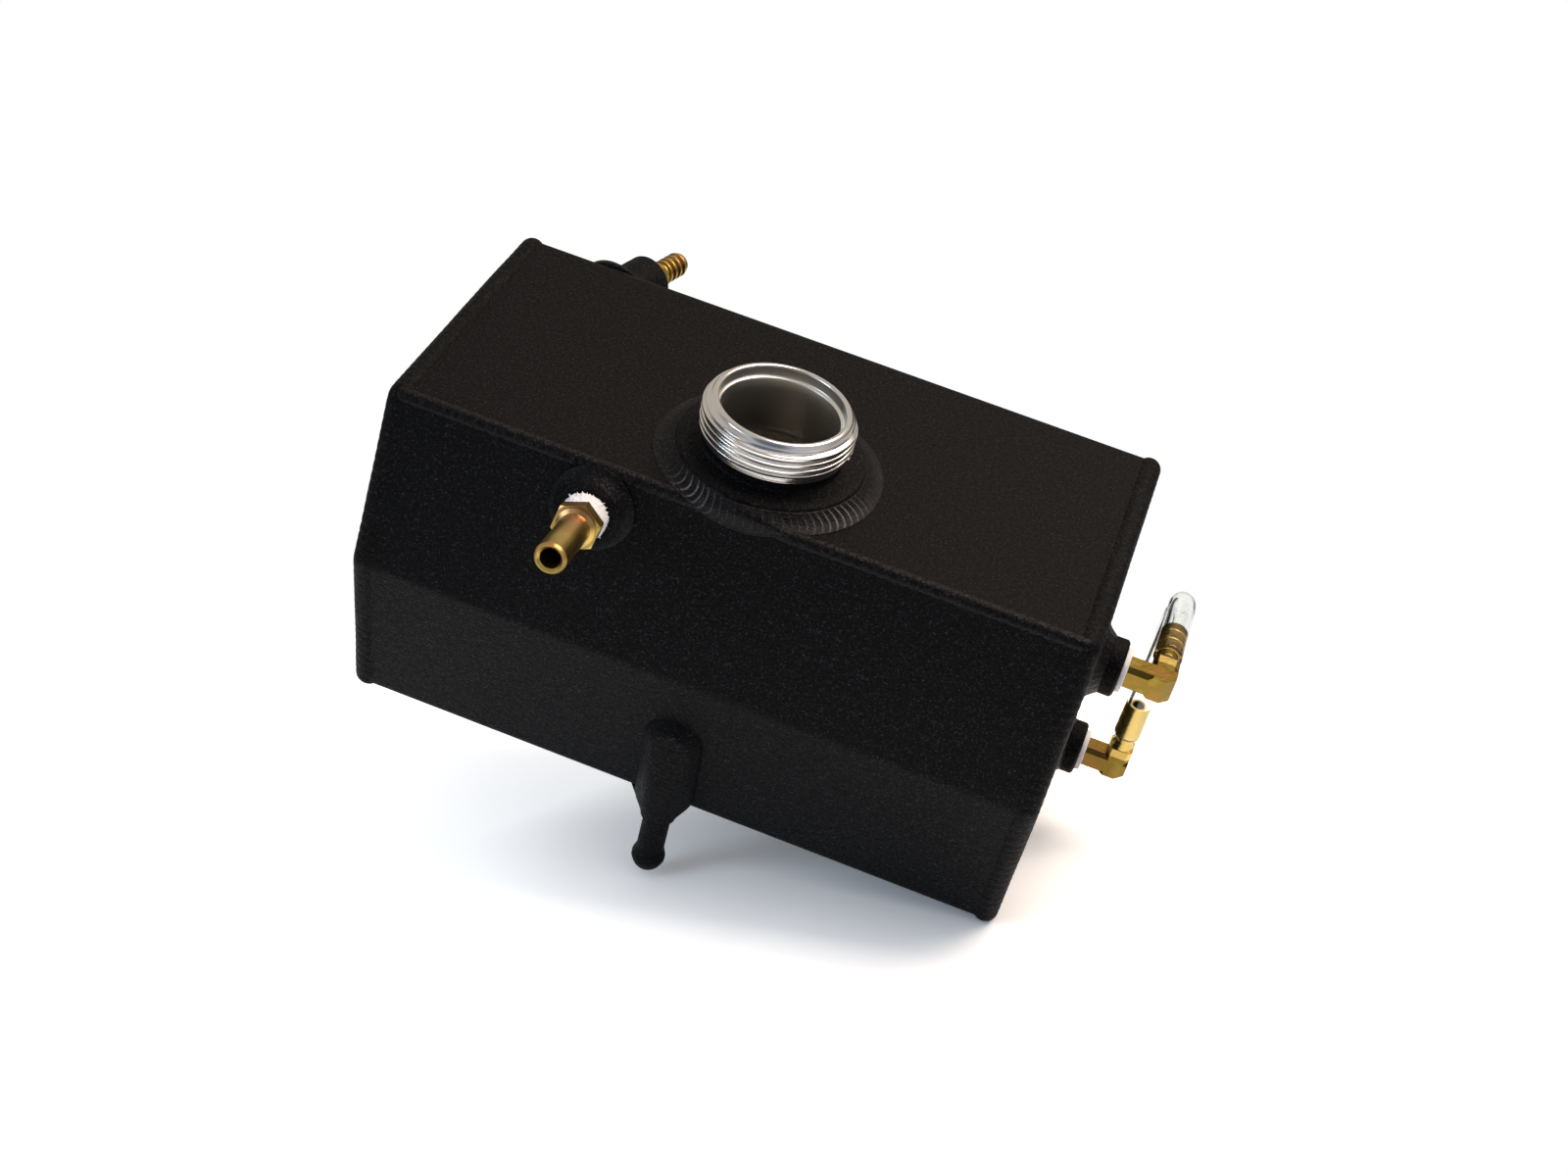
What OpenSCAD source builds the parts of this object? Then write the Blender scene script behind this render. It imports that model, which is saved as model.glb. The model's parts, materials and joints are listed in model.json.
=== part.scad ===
// Coolant expansion tank: one folded aluminium sheet closed by two end plates, all welded,
// with a screw-neck for the cap, two hose tails, a sight tube on the right end and an outlet below.
// The origin is where the filler neck's axis meets the top plate. X runs along the tank to the
// sight tube, Y to the back, Z up.

/* [Tank body] */
// Length of the tank over both end plates
tank_length = 254; // [230:1:300]
// Depth of the flat top plate, from the front seam to the back bend
top_depth = 121.8; // [100:0.1:150]
// Height from the top plate to the bottom
tank_height = 136.4; // [115:0.1:160]
// How far the front bend stands out in front of the seam
nose_reach = 15.2; // [11:0.1:24]
// Height of the front bend below the top plate
nose_drop = 65.9; // [55:0.1:75]
// Thickness of the sheet and of the end plates
wall = 3.2; // [2.5:0.1:4]
// Outer radius of the bends
bend_r = 6; // [5:0.5:9]

/* [Filler neck] */
// Distance of the neck's axis from the left end
neck_from_left = 126.6; // [110:0.1:140]
// Distance of the neck's axis behind the front seam
neck_from_seam = 35.2; // [33:0.1:60]
// Height of the neck's rim above the top plate
neck_height = 24.7; // [22:0.1:32]
// Main bore of the neck
neck_bore = 42; // [38:0.2:44]
// Wider bore at the mouth, where the cap's plug enters
mouth_bore = 44.2; // [44:0.2:46]
// Outside diameter of the thread
thread_d = 54.2; // [54:0.2:57]
// Diameter of the neck's collar
collar_d = 67.2; // [64:0.2:70]
// Height of the collar
collar_height = 5.5; // [4:0.1:7]

/* [Front hose fitting] */
// Distance of the fitting from the left end, on the upper front face
front_from_left = 78.4; // [60:0.1:90]
// Distance of the fitting from the front seam, down the face
front_from_seam = 15.8; // [14:0.1:25]
// Upward tilt of the fitting
front_tilt = 12.6; // [6:0.2:18]
// Turn of the fitting to the right, away from square
front_turn = 2.2; // [0:0.1:6]
// Turn of its hexagon about the fitting's axis
front_hex_turn = 20; // [0:1:59]
// Outside diameter of the smooth hose tail
front_tail_d = 11.1; // [9:0.1:13]
// Height of the front bung
front_bung_h = 8; // [6:0.5:12]
// Distance from the tank's face to the mouth of the hose tail
front_reach = 46.2; // [40:0.2:60]

/* [Rear hose fitting] */
// Distance of the fitting from the left end
rear_from_left = 37; // [30:0.2:60]
// Depth of the fitting's axis below the top plate
rear_drop = 16.4; // [12:0.1:25]
// Turn of the fitting to the right, away from square
rear_turn = 16.4; // [0:0.2:20]
// Length of the rear bung
rear_bung_h = 23.1; // [15:0.1:30]
// Length of the hose tail beyond the bung
rear_tail_len = 21; // [18:0.5:30]
// Outside diameter over the tail's rings
rear_tail_d = 9.7; // [8:0.1:12]

/* [Sight tube] */
// Distance of the upper sight fitting behind the front seam
upper_y = 24; // [18:0.1:40]
// Depth of the upper sight fitting below the top plate
upper_drop = 23.3; // [20:0.1:35]
// Distance of the lower sight fitting behind the front seam
lower_y = 79.6; // [70:0.1:95]
// Depth of the lower sight fitting below the top plate
lower_drop = 109.3; // [95:0.1:115]
// How far the sight bungs stand out from the end plate
sight_bung_h = 10; // [7:0.5:12]
// Distance of the sight tube from the bungs' faces
elbow_reach = 14; // [12:0.2:18]
// Length of an elbow's hose tail from the middle of its body
elbow_tail = 30.5; // [26:0.5:36]
// Outside diameter of the sight tube
tube_d = 10.1; // [9:0.1:12]
// Bore of the sight tube
tube_bore = 6.4; // [5.5:0.1:7]
// Radius of the bend in the sight tube
tube_bend_r = 12.5; // [12:0.5:24]

/* [Bungs] */
// Outside diameter of the welded bungs
bung_d = 20.6; // [19:0.1:24]

/* [Outlet] */
// Distance of the outlet from the left end
outlet_from_left = 125.5; // [110:0.1:140]
// Distance of the outlet's axis in front of the seam
outlet_forward = 4.2; // [2:0.1:6]
// Outside diameter of the outlet's boss
outlet_boss_d = 13.3; // [12:0.1:16]
// Depth of the lower end of the boss below the tank's bottom
outlet_boss_drop = 4; // [2.5:0.1:12]
// Outside diameter of the outlet's tail
outlet_d = 10.4; // [9:0.1:12]
// Depth of the tail's end below the tank's bottom
outlet_drop = 29.7; // [25:0.1:45]
// Outside diameter of the bead that holds the hose
outlet_bead_d = 12.7; // [11:0.1:14]

/* [Mounting bosses] */
// Distance between the two threaded bosses under the tank
mount_spacing = 170; // [120:1:200]
// Distance of the bosses behind the front seam
mount_y = 72; // [40:1:90]
// Height of the bosses below the tank's bottom
mount_h = 10; // [6:0.5:14]
// Outside diameter of the bosses
mount_d = 22; // [18:0.5:28]
// Tapping diameter of the bosses' thread
mount_hole_d = 6.8; // [5:0.1:8.5]

/* [Welds] */
// Spacing of the ripples along a weld bead
ripple_pitch = 3.9; // [2:0.1:5]
// Depth of the ripples
ripple_depth = 0.35; // [0.1:0.05:0.6]
// Width of a weld ring around a fitting
ring_w = 5; // [3:0.5:6]

/* [Hidden] */
$fn = 64;

black = [0.10, 0.10, 0.11];
aluminium = [0.82, 0.83, 0.84];
brass = [0.78, 0.60, 0.25];
tape_white = [0.96, 0.96, 0.96];
clear_vinyl = [0.85, 0.88, 0.86, 0.5];

// The tank's side outline in (Y, Z): seam, back bend, back lower bend, front lower bend, nose.
outline_pts = [[0, 0], [top_depth, 0], [top_depth, -tank_height], [0, -tank_height],
    [-nose_reach, -nose_drop]];
outline_r = [0, bend_r, bend_r, bend_r, bend_r];
seam = 0;
corner_count = len(outline_pts);

// Directions along the two front faces, and the outward normal of the upper one
upper_face = unit([-nose_reach, -nose_drop]);
upper_normal = [upper_face[1], -upper_face[0]];
lower_face_lean = atan2(nose_reach, tank_height - nose_drop);

land = 0.4 * wall;
plate_inset = wall - land;
bead_r = 4.85;
bead_in = 3.6;
bead_turn_r = bend_r - bead_in;
seam_bead_r = 2.7;
seam_bead_in = 2.6;
seam_gap = 0.5;
seam_fill_in = 0.45;
seam_root = inset_pt(seam, wall + seam_gap);
neck_weld_r = 40.7;
neck_weld_h = 4.6;
neck_weld_sag = 8;
neck_weld_spill = 1.6;
neck_pilot_r = 26;
neck_lead = 1.5;
thread_root_d = thread_d - 3.4;
thread_turns = 5;
thread_top = neck_height - 2;
thread_bottom = neck_height - 14.8;
bung_pilot_r = 7.5;
small_thread_r = 5.1;
small_shank_r = 5;
large_thread_r = 6.8;
large_shank_r = 6.7;
elbow_w = 9.3;
elbow_bore_r = 2.3;
barb_ring_r = 3.95;
barb_root_r = 3.3;
elbow_x = tank_length + sight_bung_h + elbow_reach;
elbow_tape_w = 2;
hex_front_af = 15.3;
hex_rear_af = 11.2;
outlet_bore_r = 3.7;
outlet_top = nose_drop + 24.5;
outlet_weld_top = nose_drop + 33;
outlet_weld_r = 12;
outlet_weld_low = tank_height - 7.4;
outlet_weld_foot_r = 13.5;
outlet_weld_foot = [-2.5, 10];
outlet_weld_skirt = 1.5;

function unit(v) = v / norm(v);
function before(i) = (i + corner_count - 1) % corner_count;
function after(i) = (i + 1) % corner_count;
function to_before(i) = unit(outline_pts[before(i)] - outline_pts[i]);
function to_after(i) = unit(outline_pts[after(i)] - outline_pts[i]);
function half_angle(i) = acos(to_before(i) * to_after(i)) / 2;
function inward(i) = unit(to_before(i) + to_after(i));
function inset_pt(i, d) = outline_pts[i] + inward(i) * d / sin(half_angle(i));
function bend_centre(i) = inset_pt(i, outline_r[i]);
function tangent_len(i, d) = max(outline_r[i] - d, 0) / tan(half_angle(i));
function tangent_in(i, d) = inset_pt(i, d) + to_before(i) * tangent_len(i, d);
function tangent_out(i, d) = inset_pt(i, d) + to_after(i) * tangent_len(i, d);

// Places its children in the tank's own corner frame: left end, front seam, top plate.
module at_corner() {
    translate([-neck_from_left, -neck_from_seam, 0]) children();
}

// Turns a drawing in (Y, Z) into a solid along X.
module along_x(x_from, x_to) {
    translate([x_from, 0, 0]) rotate([90, 0, 90]) linear_extrude(x_to - x_from) children();
}

// A bar with the tank's outline, d inside its outer face, from x_from to x_to.
module tank_bar(x_from, x_to, d) {
    along_x(x_from, x_to) polygon([for (i = [0 : corner_count - 1]) each
        (outline_r[i] > d ? [tangent_in(i, d), tangent_out(i, d)] : [inset_pt(i, d)])]);
    for (i = [0 : corner_count - 1]) {
        if (outline_r[i] > d) along_x(x_from, x_to)
            translate(bend_centre(i)) circle(outline_r[i] - d);
    }
}

module tank_solid() {
    tank_bar(wall, tank_length - wall, 0);
    tank_bar(0, tank_length, plate_inset);
}

// The open V between the two edges of the sheet, which the seam weld fills. Its root is a narrow gap.
module seam_notch() {
    polygon([seam_root, seam_root + upper_normal * (wall + 2.5), [-3, 3], seam_root + [0, wall + 2.5]]);
}

// Moves along Z to the front fitting's axis, which leaves the upper front face.
module at_front_fitting() {
    foot = upper_face * front_from_seam;
    translate([front_from_left, foot[0], foot[1]]) rotate([90 - front_tilt, 0, 0])
        rotate([0, front_turn, 0]) children();
}

// Moves along Z to the rear fitting's axis, which leaves the back wall.
module at_rear_fitting() {
    translate([rear_from_left, top_depth, -rear_drop]) rotate([0, 0, -rear_turn])
        rotate([-90, 0, 0]) children();
}

module at_upper_sight() {
    translate([tank_length, upper_y, -upper_drop]) rotate([0, 90, 0]) children();
}

module at_lower_sight() {
    translate([tank_length, lower_y, -lower_drop]) rotate([0, 90, 0]) children();
}

module at_outlet() {
    translate([outlet_from_left, -outlet_forward, 0]) children();
}

module at_mount(side) {
    translate([tank_length / 2 + side * mount_spacing / 2, mount_y, -tank_height])
        rotate([180, 0, 0]) children();
}

// A row of rounded weld ripples turned about Z, from 0 to length.
module ripple_bead(length, r) {
    count = max(1, round(length / ripple_pitch));
    step = length / count;
    rotate_extrude() polygon(concat([[0, 0]],
        [for (k = [0 : count - 1]) each [[r - ripple_depth, k * step],
            [r - ripple_depth * 0.2, (k + 0.3) * step], [r, (k + 0.6) * step]]],
        [[r - ripple_depth, length], [0, length]]));
}

// A bead along the straight run between two corners, in the plane at x.
module bead_between(x, a, b, r) {
    heading = atan2(b[1] - a[1], b[0] - a[0]);
    translate([x, a[0], a[1]]) rotate([heading, 0, 0]) rotate([-90, 0, 0])
        cylinder(r = r, h = norm(b - a));
}

// A concave fillet of weld around a fitting of radius r, about Z, reaching depth below.
module weld_ring(r, w, depth) {
    toe = 0.5;
    rotate_extrude() difference() {
        translate([r, -depth]) square([w, depth + w + toe]);
        translate([r + w + 0.6, w + toe + 0.3]) circle(w);
    }
}

module hexagon_bar(af, h) {
    chamfer_r = af / 2 * 1.06;
    intersection() {
        linear_extrude(h) circle(af / sqrt(3), $fn = 6);
        rotate_extrude() polygon([[0, 0], [af * 0.7, 0], [af * 0.7, h - 1.6], [chamfer_r, h], [0, h]]);
    }
}

// The end bead's path: its straight runs end at these points, and it turns each corner by the middle
// point. It rounds the seam's corner as it does the bends.
function bead_run_end(i) = bead_turn_r / tan(half_angle(i));
function bead_run_in(i) = inset_pt(i, bead_in) + to_before(i) * bead_run_end(i);
function bead_run_out(i) = inset_pt(i, bead_in) + to_after(i) * bead_run_end(i);
function bead_turn_mid(i) = inset_pt(i, bend_r) - inward(i) * bead_turn_r;

// The joint bead around one end of the tank, before the plates are taken out of it.
module end_bead(x) {
    for (i = [0 : corner_count - 1]) {
        bead_between(x, bead_run_out(i), bead_run_in(after(i)), bead_r);
        translate([x, bead_turn_mid(i)[0], bead_turn_mid(i)[1]]) sphere(bead_r + 0.15);
    }
}

module folded_shell() {
    color(black) at_corner() difference() {
        tank_bar(wall, tank_length - wall, 0);
        tank_bar(0, tank_length, wall);
        along_x(0, tank_length) seam_notch();
        translate([neck_from_left, neck_from_seam, -2 * wall]) cylinder(r = neck_pilot_r, h = 3 * wall);
        at_front_fitting() translate([0, 0, -12]) cylinder(r = bung_pilot_r, h = 24);
        at_rear_fitting() translate([0, 0, -9]) cylinder(r = bung_pilot_r, h = 20);
        at_outlet() translate([0, 0, -tank_height - 5])
            cylinder(d = outlet_boss_d, h = tank_height + 5 - outlet_top);
        for (side = [-1, 1]) {
            at_mount(side) translate([0, 0, -2 * wall]) cylinder(r = bung_pilot_r, h = 3 * wall);
        }
    }
}

module left_end_plate() {
    color(black) at_corner() tank_bar(0, wall, plate_inset);
}

module right_end_plate() {
    color(black) at_corner() difference() {
        tank_bar(tank_length - wall, tank_length, plate_inset);
        at_upper_sight() translate([0, 0, -2 * wall]) cylinder(r = bung_pilot_r, h = 3 * wall);
        at_lower_sight() translate([0, 0, -2 * wall]) cylinder(r = bung_pilot_r, h = 3 * wall);
    }
}

// The seam's bead fills the V and stands a little proud, up to the welds that it meets. The filling's
// own corner stays under the bead.
module seam_weld() {
    path = outline_pts[seam] + inward(seam) * seam_bead_in;
    corner = outline_pts[seam] + inward(seam) * seam_fill_in;
    front_edge = seam_root + upper_normal * (wall + seam_gap);
    top_edge = seam_root + [0, wall + seam_gap];
    color(black) at_corner() {
        along_x(wall, tank_length - wall) polygon([seam_root, front_edge, corner, top_edge]);
        difference() {
            translate([7, path[0], path[1]]) rotate([0, 90, 0])
                ripple_bead(tank_length - 14, seam_bead_r);
            along_x(0, tank_length) polygon([corner, top_edge, [40, 0], [40, -40],
                upper_face * 40, front_edge]);
            translate([neck_from_left, neck_from_seam, -20]) cylinder(r = neck_weld_r, h = 40);
            at_front_fitting() translate([0, 0, -10]) cylinder(r = bung_d / 2 + ring_w, h = 30);
        }
    }
}

module left_end_weld() {
    color(black) at_corner() difference() {
        end_bead(bead_in);
        tank_solid();
    }
}

module right_end_weld() {
    color(black) at_corner() difference() {
        end_bead(tank_length - bead_in);
        tank_solid();
    }
}

// Bore, thread ridges, relief and collar are turned from one piece.
module filler_neck() {
    pitch = (thread_top - thread_bottom) / thread_turns;
    crest = thread_d / 2;
    root = thread_root_d / 2;
    thread = [for (k = [0 : thread_turns - 1]) each [
        [root, thread_bottom + (k + 0.12) * pitch],
        [crest, thread_bottom + (k + 0.42) * pitch],
        [crest, thread_bottom + (k + 0.58) * pitch],
        [root, thread_bottom + (k + 0.88) * pitch]]];
    color(aluminium) rotate_extrude($fn = 128) polygon(concat(
        [[neck_bore / 2, 0], [neck_bore / 2 + neck_lead, -wall], [neck_pilot_r, -wall],
            [neck_pilot_r, 0], [collar_d / 2, 0],
            [collar_d / 2, collar_height - 1], [collar_d / 2 - 1, collar_height],
            [root - 0.6, collar_height], [root - 0.6, thread_bottom]],
        thread,
        [[root, thread_top], [mouth_bore / 2 + 2.2, neck_height - 0.8],
            [mouth_bore / 2 + 1.4, neck_height], [mouth_bore / 2 + 0.4, neck_height],
            [mouth_bore / 2, neck_height - 0.4], [mouth_bore / 2, neck_height - 4],
            [neck_bore / 2, neck_height - 4.6]]));
}

// The weld around the collar spills over the front seam, where the plate is narrow. Its face is an
// arc that hangs below the line from the collar to the toe.
module neck_weld() {
    top = [collar_d / 2, neck_weld_h];
    toe = [neck_weld_r, 0.2];
    across = unit(toe - top);
    arc_centre = (top + toe) / 2 + [-across[1], across[0]] * neck_weld_sag;
    spill_face = upper_face * (neck_weld_r - neck_from_seam + 6);
    color(black) difference() {
        intersection() {
            rotate_extrude($fn = 128) difference() {
                translate([top[0], -5]) square([toe[0] - top[0], 5 + neck_weld_h]);
                translate(arc_centre) circle(norm(arc_centre - top));
            }
            at_corner() along_x(0, tank_length) polygon([[-neck_weld_spill, 0] - spill_face,
                [-neck_weld_spill, 0] + spill_face, [top_depth, spill_face[1]],
                [top_depth, -spill_face[1]]]);
        }
        at_corner() tank_solid();
    }
}

// The body of a welded bung about Z, reaching below its seat by skirt.
module bung_body(h, skirt) {
    rotate_extrude() polygon([[0, -skirt], [bung_d / 2, -skirt], [bung_d / 2, h - 0.8],
        [bung_d / 2 - 0.8, h], [0, h]]);
}

// The bung's pilot fills the hole in the wall.
module bung_pilot(depth) {
    translate([0, 0, -depth]) cylinder(r = bung_pilot_r, h = depth + 1);
}

module bung_bore(h, depth, bore_r) {
    translate([0, 0, -depth - 1]) cylinder(r = bore_r, h = h + depth + 2);
}

module front_bung() {
    color(black) at_corner() difference() {
        union() {
            difference() {
                at_front_fitting() bung_body(front_bung_h, 2);
                tank_solid();
            }
            at_front_fitting() bung_pilot(4.2);
        }
        at_front_fitting() bung_bore(front_bung_h, 4.2, large_thread_r);
    }
}

module front_bung_weld() {
    color(black) at_corner() difference() {
        at_front_fitting() weld_ring(bung_d / 2, ring_w, 6);
        tank_solid();
    }
}

module front_thread_tape() {
    color(tape_white) at_corner() at_front_fitting() difference() {
        translate([0, 0, front_bung_h]) union() {
            cylinder(r = 8.05, h = 2.4);
            cylinder(r = 7.4, h = 6.6);
        }
        cylinder(r = large_thread_r, h = front_reach);
    }
}

// Smooth hose tail with a hexagon and a threaded shank, all one turned piece.
module front_hose_tail() {
    hex_from = front_bung_h + 6.6;
    hex_h = 4;
    tail_r = front_tail_d / 2;
    color(brass) at_corner() at_front_fitting() difference() {
        union() {
            translate([0, 0, 1]) cylinder(r = large_shank_r, h = hex_from - 1);
            translate([0, 0, hex_from]) rotate([0, 0, front_hex_turn]) hexagon_bar(hex_front_af, hex_h);
            rotate_extrude() polygon([[0, hex_from], [tail_r + 1.4, hex_from],
                [tail_r + 1.4, hex_from + hex_h + 0.5], [tail_r, hex_from + hex_h + 1.4],
                [tail_r, front_reach - 1], [tail_r - 0.6, front_reach], [0, front_reach]]);
        }
        cylinder(r = 3.6, h = front_reach + 1);
        translate([0, 0, front_reach - 0.8]) cylinder(r1 = 3.6, r2 = 4.6, h = 1);
    }
}

module rear_bung() {
    color(black) at_corner() difference() {
        union() {
            difference() {
                at_rear_fitting() bung_body(rear_bung_h, 6);
                tank_solid();
            }
            at_rear_fitting() bung_pilot(5.6);
        }
        at_rear_fitting() bung_bore(rear_bung_h, 5.6, small_thread_r);
    }
}

module rear_bung_weld() {
    color(black) at_corner() difference() {
        at_rear_fitting() weld_ring(bung_d / 2, ring_w + 1, 9);
        tank_solid();
    }
}

module rear_thread_tape() {
    color(tape_white) at_corner() at_rear_fitting() difference() {
        translate([0, 0, rear_bung_h]) cylinder(r = 7.6, h = 1.2);
        cylinder(r = small_thread_r, h = 2 * rear_bung_h);
    }
}

// A hose tail's rings about Z: count ratchet rings from z0, each a step and a slope to the tip.
module barb_rings(z0, z1, count, ring_r, root_r) {
    step = (z1 - z0) / count;
    rotate_extrude() polygon(concat([[0, z0 - 1], [root_r, z0 - 1], [root_r, z0]],
        [for (k = [0 : count - 1]) each [[ring_r, z0 + k * step + 0.2],
            [ring_r, z0 + k * step + 0.9], [root_r, z0 + (k + 1) * step]]],
        [[0, z1]]));
}

module rear_hose_tail() {
    hex_from = rear_bung_h + 1.2;
    hex_h = 4.5;
    tip = rear_bung_h + rear_tail_len;
    color(brass) at_corner() at_rear_fitting() difference() {
        union() {
            translate([0, 0, rear_bung_h - 8]) cylinder(r = small_shank_r, h = 9.2);
            translate([0, 0, hex_from]) hexagon_bar(hex_rear_af, hex_h);
            translate([0, 0, hex_from]) cylinder(r = rear_tail_d / 2 - 0.7, h = hex_h + 3);
            barb_rings(tip - 12, tip, 4, rear_tail_d / 2, rear_tail_d / 2 - 0.9);
        }
        translate([0, 0, rear_bung_h - 9]) cylinder(r = 2.6, h = rear_tail_len + 12);
    }
}

module sight_bung() {
    difference() {
        union() {
            bung_body(sight_bung_h, 0);
            bung_pilot(wall);
        }
        bung_bore(sight_bung_h, wall, small_thread_r);
    }
}

module sight_weld() {
    difference() {
        weld_ring(bung_d / 2, ring_w - 0.5, 1);
        translate([0, 0, -5]) cylinder(r = 2 * bung_d, h = 5);
    }
}

module upper_sight_bung() {
    color(black) at_corner() at_upper_sight() sight_bung();
}

module upper_sight_weld() {
    color(black) at_corner() at_upper_sight() sight_weld();
}

module lower_sight_bung() {
    color(black) at_corner() at_lower_sight() sight_bung();
}

module lower_sight_weld() {
    color(black) at_corner() at_lower_sight() sight_weld();
}

module elbow_tape() {
    translate([0, 0, sight_bung_h]) difference() {
        cylinder(r = 7.9, h = elbow_tape_w);
        translate([0, 0, -1]) cylinder(r = small_thread_r, h = elbow_tape_w + 2);
    }
}

module upper_elbow_tape() {
    color(tape_white) at_corner() at_upper_sight() elbow_tape();
}

module lower_elbow_tape() {
    color(tape_white) at_corner() at_lower_sight() elbow_tape();
}

// Square bar with broken edges, centred on Z.
module square_bar(w, h, edge) {
    s = w / 2;
    linear_extrude(h) polygon([[-s, edge - s], [edge - s, -s], [s - edge, -s], [s, edge - s],
        [s, s - edge], [s - edge, s], [edge - s, s], [-s, s - edge]]);
}

// Forged elbow: the shank lies along Z from the bung, the hose tail leaves along Y.
module elbow() {
    mid = sight_bung_h + elbow_reach;
    body_from = sight_bung_h + elbow_tape_w;
    difference() {
        union() {
            translate([0, 0, sight_bung_h - 7]) cylinder(r = small_shank_r, h = 9);
            translate([0, 0, body_from]) square_bar(elbow_w, mid - body_from + elbow_w / 2, 1.6);
            translate([0, 0, mid]) rotate([-90, 0, 0]) translate([0, 0, -elbow_w / 2])
                square_bar(elbow_w, elbow_w / 2 + 9.4, 1.6);
            translate([0, 0, mid]) rotate([-90, 0, 0]) union() {
                translate([0, 0, 9]) cylinder(r1 = elbow_w / 2 - 0.2, r2 = barb_root_r, h = 3.4);
                translate([0, 0, 9]) cylinder(r = barb_root_r, h = 6);
                barb_rings(elbow_tail - 15, elbow_tail, 3, barb_ring_r, barb_root_r);
            }
        }
        translate([0, -elbow_w / 2, mid + elbow_w / 2]) rotate([45, 0, 0])
            cube([2 * elbow_w, 4.4, 4.4], center = true);
        cylinder(r = elbow_bore_r, h = mid);
        translate([0, 0, mid]) rotate([-90, 0, 0]) cylinder(r = elbow_bore_r, h = elbow_tail + 1);
        translate([0, 0, mid]) sphere(elbow_bore_r + 0.2);
    }
}

module upper_elbow() {
    color(brass) at_corner() at_upper_sight() elbow();
}

module lower_elbow() {
    color(brass) at_corner() at_lower_sight() rotate([0, 0, 90]) elbow();
}

// Clear tube: up from the lower elbow, round one bend and forward onto the upper elbow.
module sight_tube() {
    over_rings = 15.2;
    low_end = -lower_drop + elbow_tail - over_rings;
    front_end = upper_y + elbow_tail - over_rings;
    bend_y = lower_y - tube_bend_r;
    bend_z = -upper_drop - tube_bend_r;
    color(clear_vinyl) at_corner() translate([elbow_x, 0, 0]) difference() {
        union() {
            translate([0, lower_y, low_end]) cylinder(d = tube_d, h = bend_z - low_end);
            translate([0, bend_y, bend_z]) rotate([90, 0, 90]) rotate_extrude(angle = 90)
                translate([tube_bend_r, 0]) circle(d = tube_d);
            translate([0, front_end, -upper_drop]) rotate([-90, 0, 0])
                cylinder(d = tube_d, h = bend_y - front_end);
        }
        translate([0, lower_y, low_end - 1]) cylinder(d = tube_bore, h = bend_z - low_end + 1);
        translate([0, bend_y, bend_z]) rotate([90, 0, 90]) rotate_extrude(angle = 90)
            translate([tube_bend_r, 0]) circle(d = tube_bore);
        translate([0, front_end - 1, -upper_drop]) rotate([-90, 0, 0])
            cylinder(d = tube_bore, h = bend_y - front_end + 1);
        translate([0, lower_y, low_end - 1]) cylinder(r = barb_ring_r, h = over_rings + 1.2);
        translate([0, front_end - 1, -upper_drop]) rotate([-90, 0, 0])
            cylinder(r = barb_ring_r, h = over_rings + 1.2);
    }
}

// Outlet: a boss let into the front lower wall, and a beaded tail below it.
module outlet_spigot() {
    boss_low = -tank_height - outlet_boss_drop;
    end_z = -tank_height - outlet_drop;
    tail_r = outlet_d / 2;
    color(black) at_corner() at_outlet() difference() {
        rotate_extrude() polygon([[0, end_z], [tail_r - 0.9, end_z], [tail_r - 0.1, end_z + 1],
            [tail_r + 0.5, end_z + 2.2], [outlet_bead_d / 2, end_z + 3.8],
            [outlet_bead_d / 2, end_z + 5.4], [tail_r + 0.5, end_z + 7.6], [tail_r, end_z + 9.2],
            [tail_r, boss_low], [outlet_boss_d / 2 - 0.8, boss_low],
            [outlet_boss_d / 2, boss_low + 0.8], [outlet_boss_d / 2, -outlet_top], [0, -outlet_top]]);
        translate([0, 0, end_z - 1]) cylinder(r = outlet_bore_r, h = outlet_drop + tank_height);
    }
}

// The saddle of weld between the boss and the sloping wall, and its foot under the tank's bottom.
module outlet_weld() {
    slope = nose_reach / (tank_height - nose_drop);
    color(black) at_corner() difference() {
        hull() {
            for (z = [-outlet_weld_top, -outlet_weld_low]) {
                translate([outlet_from_left, -(tank_height + z) * slope, z])
                    rotate([90 + lower_face_lean, 0, 0]) translate([0, 0, -0.5])
                    cylinder(r1 = outlet_weld_r, r2 = outlet_weld_r - 4, h = 5.5, $fn = 32);
            }
            translate([outlet_from_left + outlet_weld_foot[0], outlet_weld_foot[1],
                -tank_height - 0.5]) cylinder(r = outlet_weld_foot_r, h = 1, $fn = 32);
            at_outlet() translate([0, 0, -tank_height - outlet_weld_skirt])
                cylinder(d = outlet_boss_d + 0.7, h = 1, $fn = 32);
        }
        tank_solid();
        at_outlet() translate([0, 0, -tank_height - 30])
            cylinder(d = outlet_boss_d, h = tank_height);
    }
}

// Threaded boss under the tank, with its pilot in the bottom plate.
module mount_boss() {
    difference() {
        union() {
            rotate_extrude() polygon([[0, 0], [mount_d / 2, 0], [mount_d / 2, mount_h - 1],
                [mount_d / 2 - 1, mount_h], [0, mount_h]]);
            translate([0, 0, -wall]) cylinder(r = bung_pilot_r, h = wall + 1);
        }
        cylinder(d = mount_hole_d, h = mount_h + 1);
    }
}

module mount_weld() {
    difference() {
        weld_ring(mount_d / 2, ring_w - 1, 1);
        translate([0, 0, -5]) cylinder(r = 2 * mount_d, h = 5);
    }
}

module left_mount_boss() {
    color(black) at_corner() at_mount(-1) mount_boss();
}

module left_mount_weld() {
    color(black) at_corner() at_mount(-1) mount_weld();
}

module right_mount_boss() {
    color(black) at_corner() at_mount(1) mount_boss();
}

module right_mount_weld() {
    color(black) at_corner() at_mount(1) mount_weld();
}

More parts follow.
